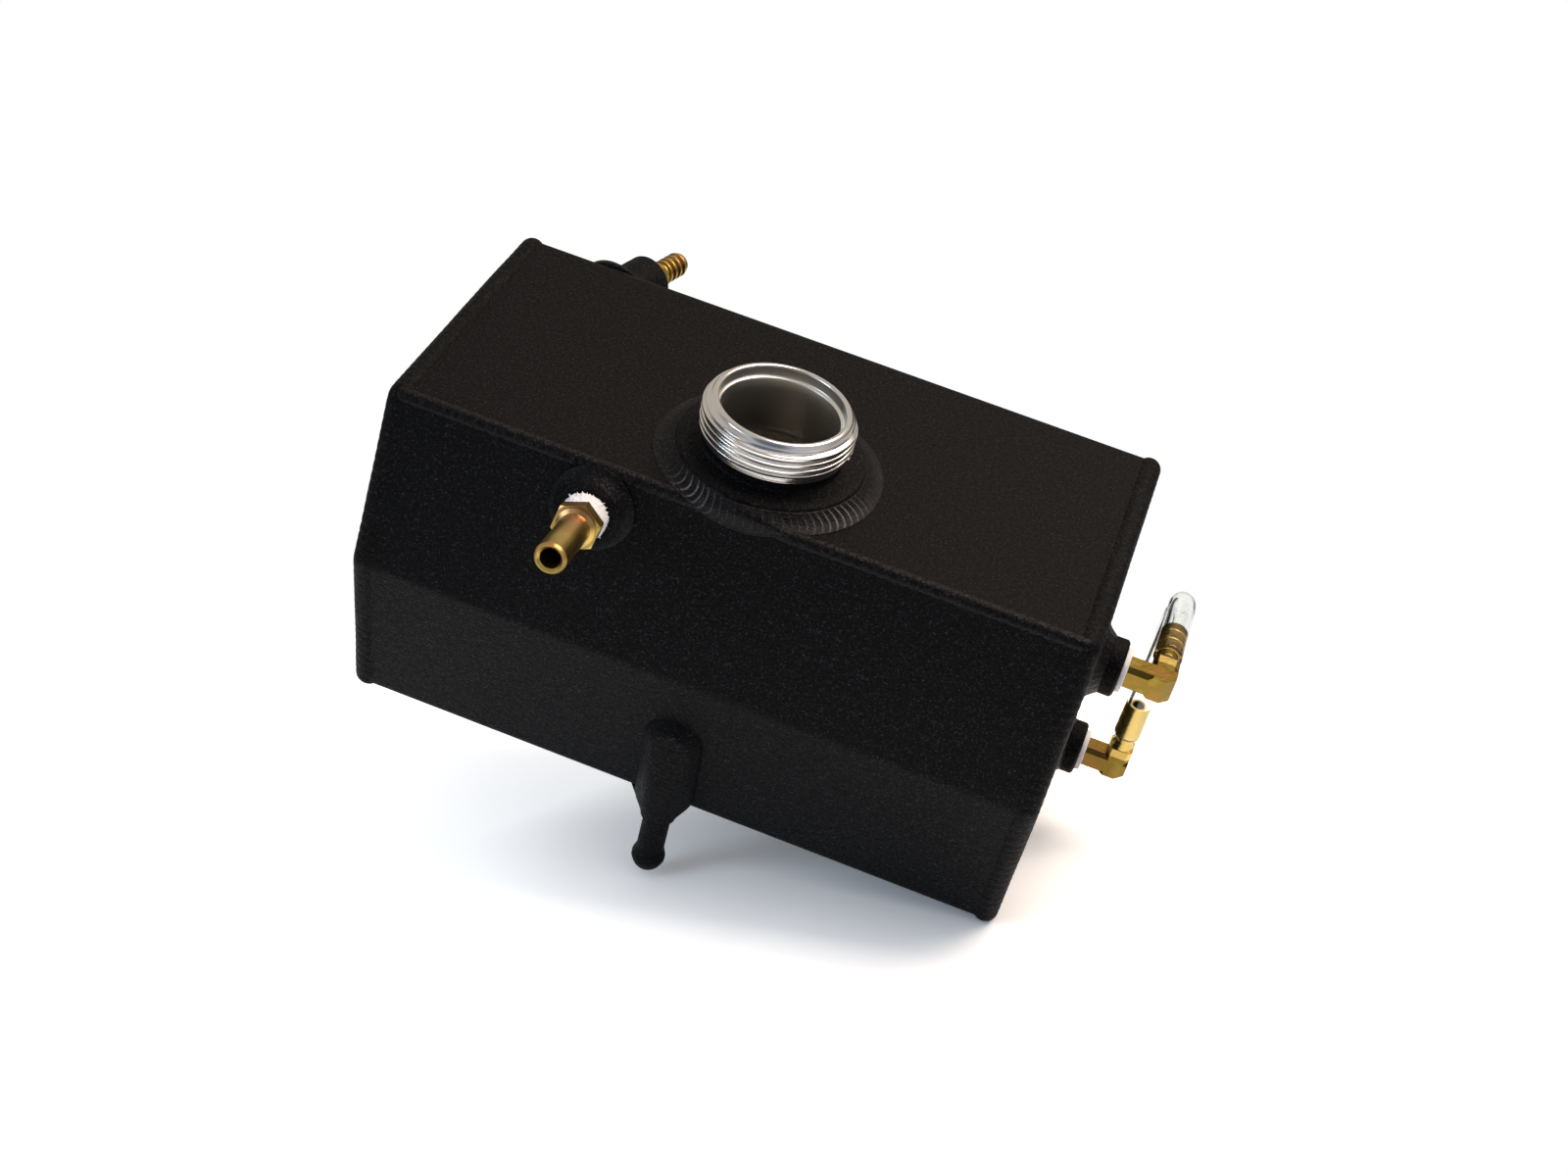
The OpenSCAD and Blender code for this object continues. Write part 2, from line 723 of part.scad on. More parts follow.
folded_shell();
left_end_plate();
right_end_plate();
seam_weld();
left_end_weld();
right_end_weld();
filler_neck();
neck_weld();
front_bung();
front_bung_weld();
front_thread_tape();
front_hose_tail();
rear_bung();
rear_bung_weld();
rear_thread_tape();
rear_hose_tail();
upper_sight_bung();
upper_sight_weld();
lower_sight_bung();
lower_sight_weld();
upper_elbow_tape();
upper_elbow();
lower_elbow_tape();
lower_elbow();
sight_tube();
outlet_spigot();
outlet_weld();
left_mount_boss();
left_mount_weld();
right_mount_boss();
right_mount_weld();
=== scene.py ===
# %% [markdown]
# # A welded coolant expansion tank
# The real tank is one folded aluminium sheet, closed by two end plates and welded all round, then
# coated in black. It comes in as a finished CAD frame, in metres, with its origin where the filler
# neck's axis meets the top plate. This script dresses that frame: weld beads, thread, tape and
# finishes are made here, each around the solid that it belongs to.

# %% Load the frame
import json
import bpy
import numpy as np
from mathutils import Matrix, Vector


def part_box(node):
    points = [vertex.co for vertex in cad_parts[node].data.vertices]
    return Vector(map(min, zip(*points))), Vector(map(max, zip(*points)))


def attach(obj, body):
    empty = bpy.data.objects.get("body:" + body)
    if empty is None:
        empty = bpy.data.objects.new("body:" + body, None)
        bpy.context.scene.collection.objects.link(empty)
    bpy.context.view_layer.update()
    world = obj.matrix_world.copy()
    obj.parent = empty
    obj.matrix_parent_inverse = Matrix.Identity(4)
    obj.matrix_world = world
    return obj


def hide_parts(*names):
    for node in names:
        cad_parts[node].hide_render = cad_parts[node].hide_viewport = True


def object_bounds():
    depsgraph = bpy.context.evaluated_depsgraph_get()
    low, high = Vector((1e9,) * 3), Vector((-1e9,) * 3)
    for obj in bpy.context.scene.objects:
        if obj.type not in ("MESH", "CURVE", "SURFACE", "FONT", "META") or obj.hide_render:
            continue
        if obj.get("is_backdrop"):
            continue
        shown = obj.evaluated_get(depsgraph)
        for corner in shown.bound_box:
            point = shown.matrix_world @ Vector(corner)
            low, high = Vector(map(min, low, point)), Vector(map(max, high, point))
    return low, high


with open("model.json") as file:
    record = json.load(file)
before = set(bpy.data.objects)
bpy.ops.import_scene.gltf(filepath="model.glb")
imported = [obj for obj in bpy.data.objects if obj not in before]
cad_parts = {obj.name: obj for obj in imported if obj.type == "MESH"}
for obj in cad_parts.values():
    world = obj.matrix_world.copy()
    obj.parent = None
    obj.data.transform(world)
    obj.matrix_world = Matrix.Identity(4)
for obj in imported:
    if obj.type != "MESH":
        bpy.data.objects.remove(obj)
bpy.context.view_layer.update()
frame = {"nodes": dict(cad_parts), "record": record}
nodes = frame["nodes"]

# %% [markdown]
# ## The tank's own measures
# The pieces below are easiest to think about in millimetres from the tank's front top corner: X
# from the left end, Y from the front seam to the back, Z up from the top plate. These are the same
# driving sizes that the solids were made with. One helper carries points into the frame's metres.

# %% Sizes in millimetres
TANK_LENGTH = 254.0
TOP_DEPTH = 121.8
TANK_HEIGHT = 136.4
NOSE_REACH = 15.2
NOSE_DROP = 65.9
WALL = 3.2
BEND_R = 6.0
NECK_FROM_LEFT = 126.6
NECK_FROM_SEAM = 35.2
NECK_HEIGHT = 24.7
COLLAR_HEIGHT = 5.5
UPPER_FACE = np.array([-NOSE_REACH, -NOSE_DROP]) / np.hypot(NOSE_REACH, NOSE_DROP)
UPPER_NORMAL = np.array([UPPER_FACE[1], -UPPER_FACE[0]])
TAU = 2 * np.pi


def unit(vectors):
    """The same vectors with length 1, along the last axis."""
    vectors = np.asarray(vectors, float)
    return vectors / np.linalg.norm(vectors, axis=-1, keepdims=True)


def metres(points):
    """Tank millimetres to frame metres: subtract the neck's place, then divide by 1000."""
    return (np.asarray(points, float) - [NECK_FROM_LEFT, NECK_FROM_SEAM, 0.0]) / 1000


plate_low, plate_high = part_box("right_end_plate")
print("right end at X =", round(plate_high.x * 1000, 2), "expected", TANK_LENGTH - NECK_FROM_LEFT)

# %% [markdown]
# ## Camera
# The camera was solved from the tank's corners and the neck's circles in the photograph. Its three
# axes are written as rows: right, down and forward. Blender's camera looks along its own -Z with
# +Y up, so down and forward are turned round when they become columns.

# %% Make the camera
CAMERA_PLACE = (0.10670, -0.60925, 0.43900)
CAMERA_RIGHT = np.array([0.93138, 0.30152, 0.20400])
CAMERA_FORWARD = np.array([-0.11450, 0.77457, -0.62200])
LENS_MM = 50.45
SENSOR_MM = 36.0

forward = CAMERA_FORWARD / np.linalg.norm(CAMERA_FORWARD)
right = CAMERA_RIGHT - forward * (CAMERA_RIGHT @ forward)
right = right / np.linalg.norm(right)
up = np.cross(right, forward)
camera_data = bpy.data.cameras.new("photo_camera")
camera_data.lens = LENS_MM
camera_data.sensor_width = SENSOR_MM
camera = bpy.data.objects.new("photo_camera", camera_data)
camera_matrix = Matrix(np.column_stack([right, up, -forward]).tolist()).to_4x4()
camera_matrix.translation = CAMERA_PLACE
camera.matrix_world = camera_matrix
bpy.context.scene.collection.objects.link(camera)
bpy.context.scene.camera = camera
print("camera at", CAMERA_PLACE, "lens", LENS_MM)

# %% [markdown]
# ## Floor and light
# In the photograph the tank lies tilted: the outlet's tip and the lower right corner touch the
# table. The floor is therefore a large plane with a leaning normal, pushed up until it meets the
# lowest point of the solids along that normal. To the camera it is a very pale diffuse sheet close
# to the tank, so that it takes the shadow, and plain white further out. Its added glow fades where
# an Ambient Occlusion node finds the tank near, which paints a contact shadow on the sheet.
#
# The light is one warm softbox above and behind, a weak cool one in front, and a sky that is white
# at the back and dim on the camera's side, as a room is. Bare metal shows that difference as
# streaks, and the tank's front stays darker than its top.

# %% Make the floor
FLOOR_UP = np.array([-0.266, 0.176, 0.948])
FLOOR_HALF = 4.0
FLOOR_CAMERA_WHITE = (1.38, 1.44, 1.50, 1)
FLOOR_GLOW = 0.51
CONTACT_REACH = 0.055
PAPER_WHITE = (0.95, 0.95, 0.95, 1)
ROOM_FLOOR = (0.16, 0.17, 0.19, 1)
PAPER_EDGE = (0.40, 0.70)
SHADOW_CENTRE = (0.02, -0.02, -0.16)
SHADOW_NEAR, SHADOW_FAR = 0.18, 0.32
WINDOW_WHITE = (1.05, 1.00, 0.95)
WALL_GREY = (0.22, 0.27, 0.34)
WINDOW_STOPS = [(-100, WINDOW_WHITE), (-82, WALL_GREY), (-56, WALL_GREY), (-44, WINDOW_WHITE),
                (-30, WINDOW_WHITE), (-16, WALL_GREY), (26, WALL_GREY), (48, WINDOW_WHITE),
                (92, WINDOW_WHITE), (112, WALL_GREY), (140, WINDOW_WHITE)]


def node_points(name):
    """All corner points of one CAD node, as an array in metres."""
    mesh = nodes[name].data
    flat = np.empty(len(mesh.vertices) * 3, np.float32)
    mesh.vertices.foreach_get("co", flat)
    return flat.reshape(-1, 3).astype(float)


def add_node(tree, kind, *inputs, **settings):
    """One shader node: inputs in order, each a socket, a value or None; settings are attributes."""
    node = tree.nodes.new(kind)
    for name, value in settings.items():
        setattr(node, name, value)
    for socket, value in zip(node.inputs, inputs):
        if isinstance(value, bpy.types.NodeSocket):
            tree.links.new(value, socket)
        elif value is not None:
            socket.default_value = value
    return node


def mix_colour(tree, share, first, second, blend="MIX"):
    """Colour mix of two colours or sockets, returned as a socket."""
    node = tree.nodes.new("ShaderNodeMix")
    node.data_type = "RGBA"
    node.blend_type = blend
    for index, value in ((0, share), (6, first), (7, second)):
        if isinstance(value, bpy.types.NodeSocket):
            tree.links.new(value, node.inputs[index])
        else:
            node.inputs[index].default_value = value
    return node.outputs[2]


def window_bands(tree, where):
    """Bright and dim sectors about the neck's axis: the angle atan2(x, -y) drives a ramp."""
    parts = add_node(tree, "ShaderNodeSeparateXYZ", where)
    front = add_node(tree, "ShaderNodeMath", parts.outputs[1], -1.0, operation="MULTIPLY")
    angle = add_node(tree, "ShaderNodeMath", parts.outputs[0], front.outputs[0],
                     operation="ARCTAN2")
    turn = add_node(tree, "ShaderNodeMath", angle.outputs[0], 1 / TAU, 0.5,
                    operation="MULTIPLY_ADD")
    node = add_node(tree, "ShaderNodeValToRGB", turn.outputs[0])
    stops = node.color_ramp.elements
    stops[0].position, stops[0].color = 0.0, (*WINDOW_WHITE, 1)
    stops[1].position, stops[1].color = 1.0, (*WINDOW_WHITE, 1)
    for degrees, colour in WINDOW_STOPS:
        stops.new(0.5 + degrees / 360).color = (*colour, 1)
    return node.outputs["Color"]


floor_up = FLOOR_UP / np.linalg.norm(FLOOR_UP)
lowest = min(float((node_points(name) @ floor_up).min()) for name in nodes)
floor_x = np.cross([0.0, 1.0, 0.0], floor_up)
floor_x = floor_x / np.linalg.norm(floor_x)
floor_y = np.cross(floor_up, floor_x)
centre = floor_up * lowest
corners = [centre + FLOOR_HALF * (a * floor_x + b * floor_y)
           for a, b in ((-1, -1), (1, -1), (1, 1), (-1, 1))]
floor_mesh = bpy.data.meshes.new("floor")
floor_mesh.from_pydata([tuple(c) for c in corners], [], [(0, 1, 2, 3)])
floor = bpy.data.objects.new("floor", floor_mesh)
bpy.context.scene.collection.objects.link(floor)
floor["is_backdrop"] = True
print("floor meets the tank at", round(lowest, 5), "m along its normal")

floor_paint = bpy.data.materials.new("floor_paint")
floor_paint.use_nodes = True
tree = floor_paint.node_tree
tree.nodes.clear()
place = add_node(tree, "ShaderNodeTexCoord").outputs["Object"]
away = add_node(tree, "ShaderNodeVectorMath", place, SHADOW_CENTRE, operation="DISTANCE")
far = add_node(tree, "ShaderNodeMapRange", away.outputs["Value"], SHADOW_NEAR, SHADOW_FAR,
               interpolation_type="SMOOTHSTEP")
sheet = add_node(tree, "ShaderNodeBsdfDiffuse", FLOOR_CAMERA_WHITE)
# Painted contact shadow: the glow is the AO value squared, so it fades where the tank is near.
openness = add_node(tree, "ShaderNodeAmbientOcclusion", None, CONTACT_REACH).outputs["AO"]
glow = add_node(tree, "ShaderNodeMath", openness, 2.0, operation="POWER")
glow = add_node(tree, "ShaderNodeMath", glow.outputs[0], FLOOR_GLOW, operation="MULTIPLY")
glow = add_node(tree, "ShaderNodeEmission", (1, 1, 1, 1), glow.outputs[0])
near = add_node(tree, "ShaderNodeAddShader", sheet.outputs[0], glow.outputs[0])
rays = add_node(tree, "ShaderNodeLightPath")
below = add_node(tree, "ShaderNodeMath", rays.outputs["Is Camera Ray"],
                 add_node(tree, "ShaderNodeNewGeometry").outputs["Backfacing"],
                 operation="MULTIPLY")
gone = add_node(tree, "ShaderNodeMath", far.outputs[0], below.outputs[0], operation="MAXIMUM")
plain = add_node(tree, "ShaderNodeEmission", (1, 1, 1, 1), 1.0)
clear = add_node(tree, "ShaderNodeBsdfTransparent")
plain = add_node(tree, "ShaderNodeMixShader", rays.outputs["Is Camera Ray"], plain.outputs[0],
                 clear.outputs[0])
seen = add_node(tree, "ShaderNodeMixShader", gone.outputs[0], near.outputs[0], plain.outputs[0])
beyond = add_node(tree, "ShaderNodeMapRange", away.outputs["Value"], *PAPER_EDGE,
                  interpolation_type="SMOOTHSTEP")
paper = mix_colour(tree, beyond.outputs[0], PAPER_WHITE, ROOM_FLOOR)
bounce = add_node(tree, "ShaderNodeBsdfDiffuse", paper)
through = add_node(tree, "ShaderNodeMath", rays.outputs["Is Camera Ray"],
                   rays.outputs["Is Transmission Ray"], operation="MAXIMUM")
on_paper = add_node(tree, "ShaderNodeMath", 1.0, beyond.outputs[0], operation="SUBTRACT")
mirrored = add_node(tree, "ShaderNodeMath", rays.outputs["Is Glossy Ray"], on_paper.outputs[0],
                    operation="MULTIPLY")
mirrored = add_node(tree, "ShaderNodeMath", mirrored.outputs[0], 0.74, operation="MULTIPLY")
through = add_node(tree, "ShaderNodeMath", through.outputs[0], mirrored.outputs[0],
                   operation="MAXIMUM")
chosen = add_node(tree, "ShaderNodeMixShader", through.outputs[0], bounce.outputs[0],
                  seen.outputs[0])
add_node(tree, "ShaderNodeOutputMaterial", chosen.outputs[0])
floor_mesh.materials.append(floor_paint)

# %% Make the sky and the lamps
ROOM_SIDE = (0.55, 0.60, 0.70, 1)
WHITE_SIDE = (0.62, 0.55, 0.48, 1)
BACK_AND_UP = (-0.15, 0.80, 0.58)

world = bpy.data.worlds.new("studio")
bpy.context.scene.world = world
world.use_nodes = True
tree = world.node_tree
tree.nodes.clear()
heading = add_node(tree, "ShaderNodeTexCoord").outputs["Generated"]
facing = add_node(tree, "ShaderNodeVectorMath", heading, BACK_AND_UP, operation="DOT_PRODUCT")
share = add_node(tree, "ShaderNodeMapRange", facing.outputs["Value"], -0.35, 0.75,
                 interpolation_type="SMOOTHSTEP")
room = mix_colour(tree, 1.0, ROOM_SIDE, window_bands(tree, heading), "MULTIPLY")
tint = mix_colour(tree, share.outputs[0], room, WHITE_SIDE)
sky = add_node(tree, "ShaderNodeBackground", tint, 0.85)
white = add_node(tree, "ShaderNodeBackground", (1, 1, 1, 1), 1.0)
rays = add_node(tree, "ShaderNodeLightPath")
through = add_node(tree, "ShaderNodeMath", rays.outputs["Is Camera Ray"],
                   rays.outputs["Is Transmission Ray"], operation="MAXIMUM")
chosen = add_node(tree, "ShaderNodeMixShader", through.outputs[0], sky.outputs[0],
                  white.outputs[0])
add_node(tree, "ShaderNodeOutputWorld", chosen.outputs[0])


def softbox(name, place, target, size, power, colour):
    """A square area lamp at a place in metres, turned to face the target."""
    data = bpy.data.lights.new(name, "AREA")
    data.size = size
    data.energy = power
    data.color = colour
    lamp = bpy.data.objects.new(name, data)
    away = np.array(place, float) - np.array(target, float)
    away = away / np.linalg.norm(away)
    side = np.cross([0.0, 1.0, 0.1], away)
    side = side / np.linalg.norm(side)
    turned = Matrix(np.column_stack([side, np.cross(away, side), away]).tolist()).to_4x4()
    turned.translation = place
    lamp.matrix_world = turned
    bpy.context.scene.collection.objects.link(lamp)
    print("lamp", name, power, "W")


softbox("key_above", (0.38, 0.58, 1.25), (0, 0, -0.05), 1.0, 19.0, (1.0, 0.80, 0.66))
softbox("fill_left", (-1.2, -0.9, 0.35), (0, 0, -0.05), 0.6, 5.5, (0.72, 0.86, 1.0))

bpy.context.scene.view_settings.view_transform = "Standard"

# %% [markdown]
# ## Making a surface from a grid
# Every new piece is a grid of points, worked out as whole arrays. A closed bead wraps round both
# ways. A turned piece wraps round its axis, and its two ends get one flat face each. The helper
# turns the grid into four-sided faces and, for a closed shape, checks the sign of its volume so
# that the faces point outwards.


# %% Grid helper
def grid_mesh(name, grids, wrap_rows=False):
    """Closed tubes from grids of shape (rows, columns, 3) in tank millimetres.

    Columns always wrap round. Rows wrap too when wrap_rows is true, else the first and last row
    are closed by one many-sided face each.
    """
    points, corners, starts = [], [], []
    base, loop_base = 0, 0
    for grid in grids:
        rows, columns = grid.shape[:2]
        row = np.arange(rows if wrap_rows else rows - 1)[:, None]
        column = np.arange(columns)[None, :]
        next_row = (row + 1) % rows
        next_column = (column + 1) % columns
        quads = np.stack([row * columns + column, row * columns + next_column,
                          next_row * columns + next_column, next_row * columns + column], -1)
        quads = quads.reshape(-1, 4)
        p = grid.reshape(-1, 3)
        a, b, c, d = (p[quads[:, k]] for k in range(4))
        volume = np.einsum("ij,ij->i", a, np.cross(b, c)).sum()
        volume += np.einsum("ij,ij->i", a, np.cross(c, d)).sum()
        if not wrap_rows:
            for ring, sense in ((np.arange(columns)[::-1], 1), ((rows - 1) * columns
                                + np.arange(columns), 1)):
                centre_point = p[ring].mean(0)
                volume += np.einsum("j,ij->i", centre_point,
                                    np.cross(p[ring], p[np.roll(ring, -1)])).sum() * sense
        outward = volume > 0
        faces = quads if outward else quads[:, ::-1]
        corners.append(faces.reshape(-1) + base)
        starts.append(np.arange(len(faces)) * 4 + loop_base)
        loop_base += len(faces) * 4
        if not wrap_rows:
            for ring in (np.arange(columns)[::-1], (rows - 1) * columns + np.arange(columns)):
                cap = ring if outward else ring[::-1]
                corners.append(cap + base)
                starts.append(np.array([loop_base]))
                loop_base += columns
        points.append(p)
        base += rows * columns
    points = metres(np.concatenate(points))
    corners = np.concatenate(corners).astype(np.int32)
    starts = np.concatenate(starts).astype(np.int32)
    mesh = bpy.data.meshes.new(name)
    mesh.vertices.add(len(points))
    mesh.vertices.foreach_set("co", points.astype(np.float32).ravel())
    mesh.loops.add(len(corners))
    mesh.loops.foreach_set("vertex_index", corners)
    mesh.polygons.add(len(starts))
    mesh.polygons.foreach_set("loop_start", starts)
    mesh.update(calc_edges=True)
    mesh.validate()
    mesh.shade_smooth()
    piece = bpy.data.objects.new(name, mesh)
    bpy.context.scene.collection.objects.link(piece)
    print(name, "has", len(mesh.polygons), "faces")
    return piece


def smooth_noise(length, cells, seed):
    """Seeded random values at even places, joined by a cosine curve, closed end to end."""
    values = np.random.default_rng(seed).uniform(-1, 1, cells)
    place = np.arange(length) * cells / length
    low = np.floor(place).astype(int) % cells
    high = (low + 1) % cells
    ease = (1 - np.cos(np.pi * (place % 1))) / 2
    return values[low] * (1 - ease) + values[high] * ease


def ripple(phase):
    """One weld ripple per whole number of phase: a quick rise, a round top and a sharp valley."""
    t = phase % 1.0
    return np.sin(np.pi * t ** 0.7) ** 0.8


def coin(phase):
    """Stacked-coin ripple: a slow rise over four fifths of the pitch and a steep step down."""
    t = phase % 1.0
    return np.where(t < 0.8, (t / 0.8) ** 1.3, 0.5 + 0.5 * np.cos(np.pi * (t - 0.8) / 0.2))


def mark_highlight_crests(piece, crest):
    """Stores how much each point lies on a ripple's crest, 0 to 1, where the weld coat paints its
    highlight.
    """
    layer = piece.data.attributes.new("crest", "FLOAT", "POINT")
    layer.data.foreach_set("value", np.clip(crest, 0, 1).astype(np.float32).ravel())
    return piece


def dress(piece, material, slot, *cad_nodes):
    """Gives a new piece its material and its body, and hides the CAD nodes that it stands for; the slot
    argument is not used.
    """
    piece.data.materials.clear()
    piece.data.materials.append(material)
    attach(piece, "root")
    if cad_nodes:
        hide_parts(*cad_nodes)
    return piece

# %% [markdown]
# ## Finishes
# The coat is a thick black powder with a fine sand-like texture. Two noises do it: one shifts the
# black a little, so that it is never one flat colour, and a finer pair lifts the surface as bump.
# All patterns read Object coordinates in metres, which the finished pieces share with the frame.


# %% Material helpers
def new_material(name):
    """A material with one Principled shader. Returns the material, its tree and the shader."""
    material = bpy.data.materials.new(name)
    material.use_nodes = True
    tree = material.node_tree
    shader = tree.nodes["Principled BSDF"]
    return material, tree, shader


def object_noise(tree, scale, detail=2.0, stretch=(1, 1, 1)):
    """A noise on Object coordinates, scale cells per metre, stretched by a Mapping node."""
    where = tree.nodes.new("ShaderNodeTexCoord")
    mapping = tree.nodes.new("ShaderNodeMapping")
    mapping.inputs["Scale"].default_value = stretch
    noise = tree.nodes.new("ShaderNodeTexNoise")
    noise.inputs["Scale"].default_value = scale
    noise.inputs["Detail"].default_value = detail
    tree.links.new(where.outputs["Object"], mapping.inputs["Vector"])
    tree.links.new(mapping.outputs[0], noise.inputs["Vector"])
    return noise.outputs["Fac"]


def ramp(tree, value, stops):
    """A colour ramp on a value: stops are (place, colour) pairs."""
    node = tree.nodes.new("ShaderNodeValToRGB")
    tree.links.new(value, node.inputs[0])
    elements = node.color_ramp.elements
    elements[0].position, elements[0].color = stops[0][0], (*stops[0][1], 1)
    elements[1].position, elements[1].color = stops[-1][0], (*stops[-1][1], 1)
    for place, colour in stops[1:-1]:
        elements.new(place).color = (*colour, 1)
    return node.outputs["Color"]


def math_node(tree, operation, a, b=None):
    """One Math node: each input is a socket or a plain number."""
    node = tree.nodes.new("ShaderNodeMath")
    node.operation = operation
    for socket, value in zip(node.inputs, (a, b)):
        if value is None:
            continue
        if isinstance(value, (int, float)):
            socket.default_value = value
        else:
            tree.links.new(value, socket)
    return node.outputs[0]


def bump(tree, shader, height, distance, strength=1.0, below=None):
    """Lifts the surface by height times distance metres."""
    node = tree.nodes.new("ShaderNodeBump")
    node.inputs["Distance"].default_value = distance
    node.inputs["Strength"].default_value = strength
    tree.links.new(height, node.inputs["Height"])
    if below is not None:
        tree.links.new(below, node.inputs["Normal"])
    tree.links.new(node.outputs[0], shader.inputs["Normal"])
    return node.outputs[0]


# %% The black coat
def coat_nodes(tree, shader, rough, shine, glint_colour=None):
    """Fine-texture powder coat: speckled black, uneven gloss and a two-scale grain; given a highlight
    colour, it also paints a pale highlight on the marked ripple crests.
    """
    speckle = object_noise(tree, 1300, 3)
    black = ramp(tree, speckle, [(0.36, (0.0006, 0.0007, 0.0009)),
                                        (0.50, (0.0016, 0.0018, 0.0023)),
                                        (0.60, (0.0055, 0.0060, 0.0075)),
                                        (0.76, (0.0420, 0.0445, 0.0520))])
    if glint_colour:
        # Painted highlight: on the ripple crests the base colour turns pale blue-grey, standing in for
        # glints of light.
        crest = tree.nodes.new("ShaderNodeAttribute")
        crest.attribute_name = "crest"
        painted_glint = math_node(tree, "MULTIPLY", crest.outputs["Fac"],
                         math_node(tree, "MULTIPLY", speckle, 1.8))
        black = mix_colour(tree, painted_glint, black, glint_colour)
    tree.links.new(black, shader.inputs["Base Color"])
    gloss = object_noise(tree, 700, 2)
    tree.links.new(ramp(tree, gloss, [(0.3, (rough - 0.1,) * 3), (0.7, (rough + 0.1,) * 3)]),
                   shader.inputs["Roughness"])
    shader.inputs["Specular IOR Level"].default_value = shine
    grain = math_node(tree, "ADD", object_noise(tree, 1300, 2),
                      math_node(tree, "MULTIPLY", object_noise(tree, 480, 1), 0.6))
    bump(tree, shader, grain, 0.0006, 0.6)


def coated_outside(tree, shader, rough):
    """Bare metal where the depth under all outside planes is more than 0.78 of the wall."""
    slope = unit([NOSE_REACH, NOSE_DROP - TANK_HEIGHT])
    planes = [((0, 0, 1), 0.0), ((0, 0, -1), TANK_HEIGHT), ((0, 1, 0), TOP_DEPTH),
              ((-1, 0, 0), 0.0), ((1, 0, 0), TANK_LENGTH),
              ((0, *UPPER_NORMAL), 0.0), ((0, slope[1], -slope[0]), None)]
    where = add_node(tree, "ShaderNodeTexCoord").outputs["Object"]
    corner = np.array([-NECK_FROM_LEFT, -NECK_FROM_SEAM, 0.0]) / 1000
    bottom = corner + np.array([0.0, 0.0, -TANK_HEIGHT]) / 1000
    deepest = None
    for normal, reach in planes:
        start = bottom if reach is None else corner
        offset = float(np.dot(start, normal)) + (reach or 0.0) / 1000
        along = add_node(tree, "ShaderNodeVectorMath", where, normal, operation="DOT_PRODUCT")
        depth = math_node(tree, "SUBTRACT", along.outputs["Value"], offset)
        deepest = depth if deepest is None else math_node(tree, "MAXIMUM", deepest, depth)
    inside = math_node(tree, "LESS_THAN", deepest, -0.78 * WALL / 1000)
    black = shader.inputs["Base Color"].links[0].from_socket
    tree.links.new(mix_colour(tree, inside, black, (0.88, 0.87, 0.83, 1)),
                   shader.inputs["Base Color"])
    tree.links.new(inside, shader.inputs["Metallic"])


black_coat, tree, shader = new_material("black_coat")
coat_nodes(tree, shader, 0.58, 0.085)
shell_coat, tree, shader = new_material("black_coat_over_bare_inside")
coat_nodes(tree, shader, 0.58, 0.085)
coated_outside(tree, shader, 0.4)
# The weld coat paints a pale blue-grey highlight on marked ripple crests.
weld_coat, tree, shader = new_material("black_weld_coat")
coat_nodes(tree, shader, 0.42, 0.13, (0.30, 0.33, 0.38, 1))
print("black coats made")

# %% Other finishes
bare_aluminium, tree, shader = new_material("neck_aluminium")
shader.inputs["Metallic"].default_value = 1.0
shader.inputs["Base Color"].default_value = (0.80, 0.79, 0.77, 1)
shader.inputs["Roughness"].default_value = 0.17
bump(tree, shader, object_noise(tree, 60, 2, (0.15, 0.15, 60)), 0.0001, 0.25)

# Painted light: the bore's aluminium is a lighter, yellower copy of the neck's, lifting the dark bore
# toward the yellowish reflections in it; it is also rougher.
lightened_bore_aluminium, tree, shader = new_material("lightened_bore_aluminium")
shader.inputs["Metallic"].default_value = 1.0
shader.inputs["Base Color"].default_value = (0.88, 0.87, 0.81, 1)
shader.inputs["Roughness"].default_value = 0.30

brass, tree, shader = new_material("fitting_brass")
shader.inputs["Metallic"].default_value = 1.0
tree.links.new(ramp(tree, object_noise(tree, 90, 3), [(0.36, (0.58, 0.34, 0.15)),
                                                      (0.48, (0.52, 0.36, 0.10)),
                                                      (0.66, (0.62, 0.46, 0.14))]),
               shader.inputs["Base Color"])
shader.inputs["Roughness"].default_value = 0.32
bump(tree, shader, object_noise(tree, 700, 2), 0.0002, 0.25)

elbow_brass, tree, shader = new_material("elbow_brass")
shader.inputs["Metallic"].default_value = 1.0
forged = ramp(tree, object_noise(tree, 110, 3), [(0.38, (0.27, 0.155, 0.04)),
                                                 (0.50, (0.20, 0.145, 0.025)),
                                                 (0.66, (0.29, 0.21, 0.045))])
place = add_node(tree, "ShaderNodeSeparateXYZ", add_node(tree, "ShaderNodeTexCoord").outputs["Object"])
turned = math_node(tree, "MULTIPLY", math_node(tree, "GREATER_THAN", place.outputs[1], -0.0055),
                   math_node(tree, "GREATER_THAN", place.outputs[2], -0.1035))
tree.links.new(mix_colour(tree, turned, forged, (0.60, 0.44, 0.13, 1)), shader.inputs["Base Color"])
shader.inputs["Roughness"].default_value = 0.27
bump(tree, shader, object_noise(tree, 700, 2), 0.0002, 0.3)

white_tape, tree, shader = new_material("thread_tape")
shader.inputs["Base Color"].default_value = (0.94, 0.97, 1.0, 1)
shader.inputs["Roughness"].default_value = 0.5
bump(tree, shader, object_noise(tree, 900, 3), 0.0004, 0.4)

clear_vinyl, tree, shader = new_material("clear_tube")
shader.inputs["Base Color"].default_value = (0.95, 0.96, 0.94, 1)
shader.inputs["Transmission Weight"].default_value = 1.0
shader.inputs["Roughness"].default_value = 0.02
shader.inputs["IOR"].default_value = 1.45

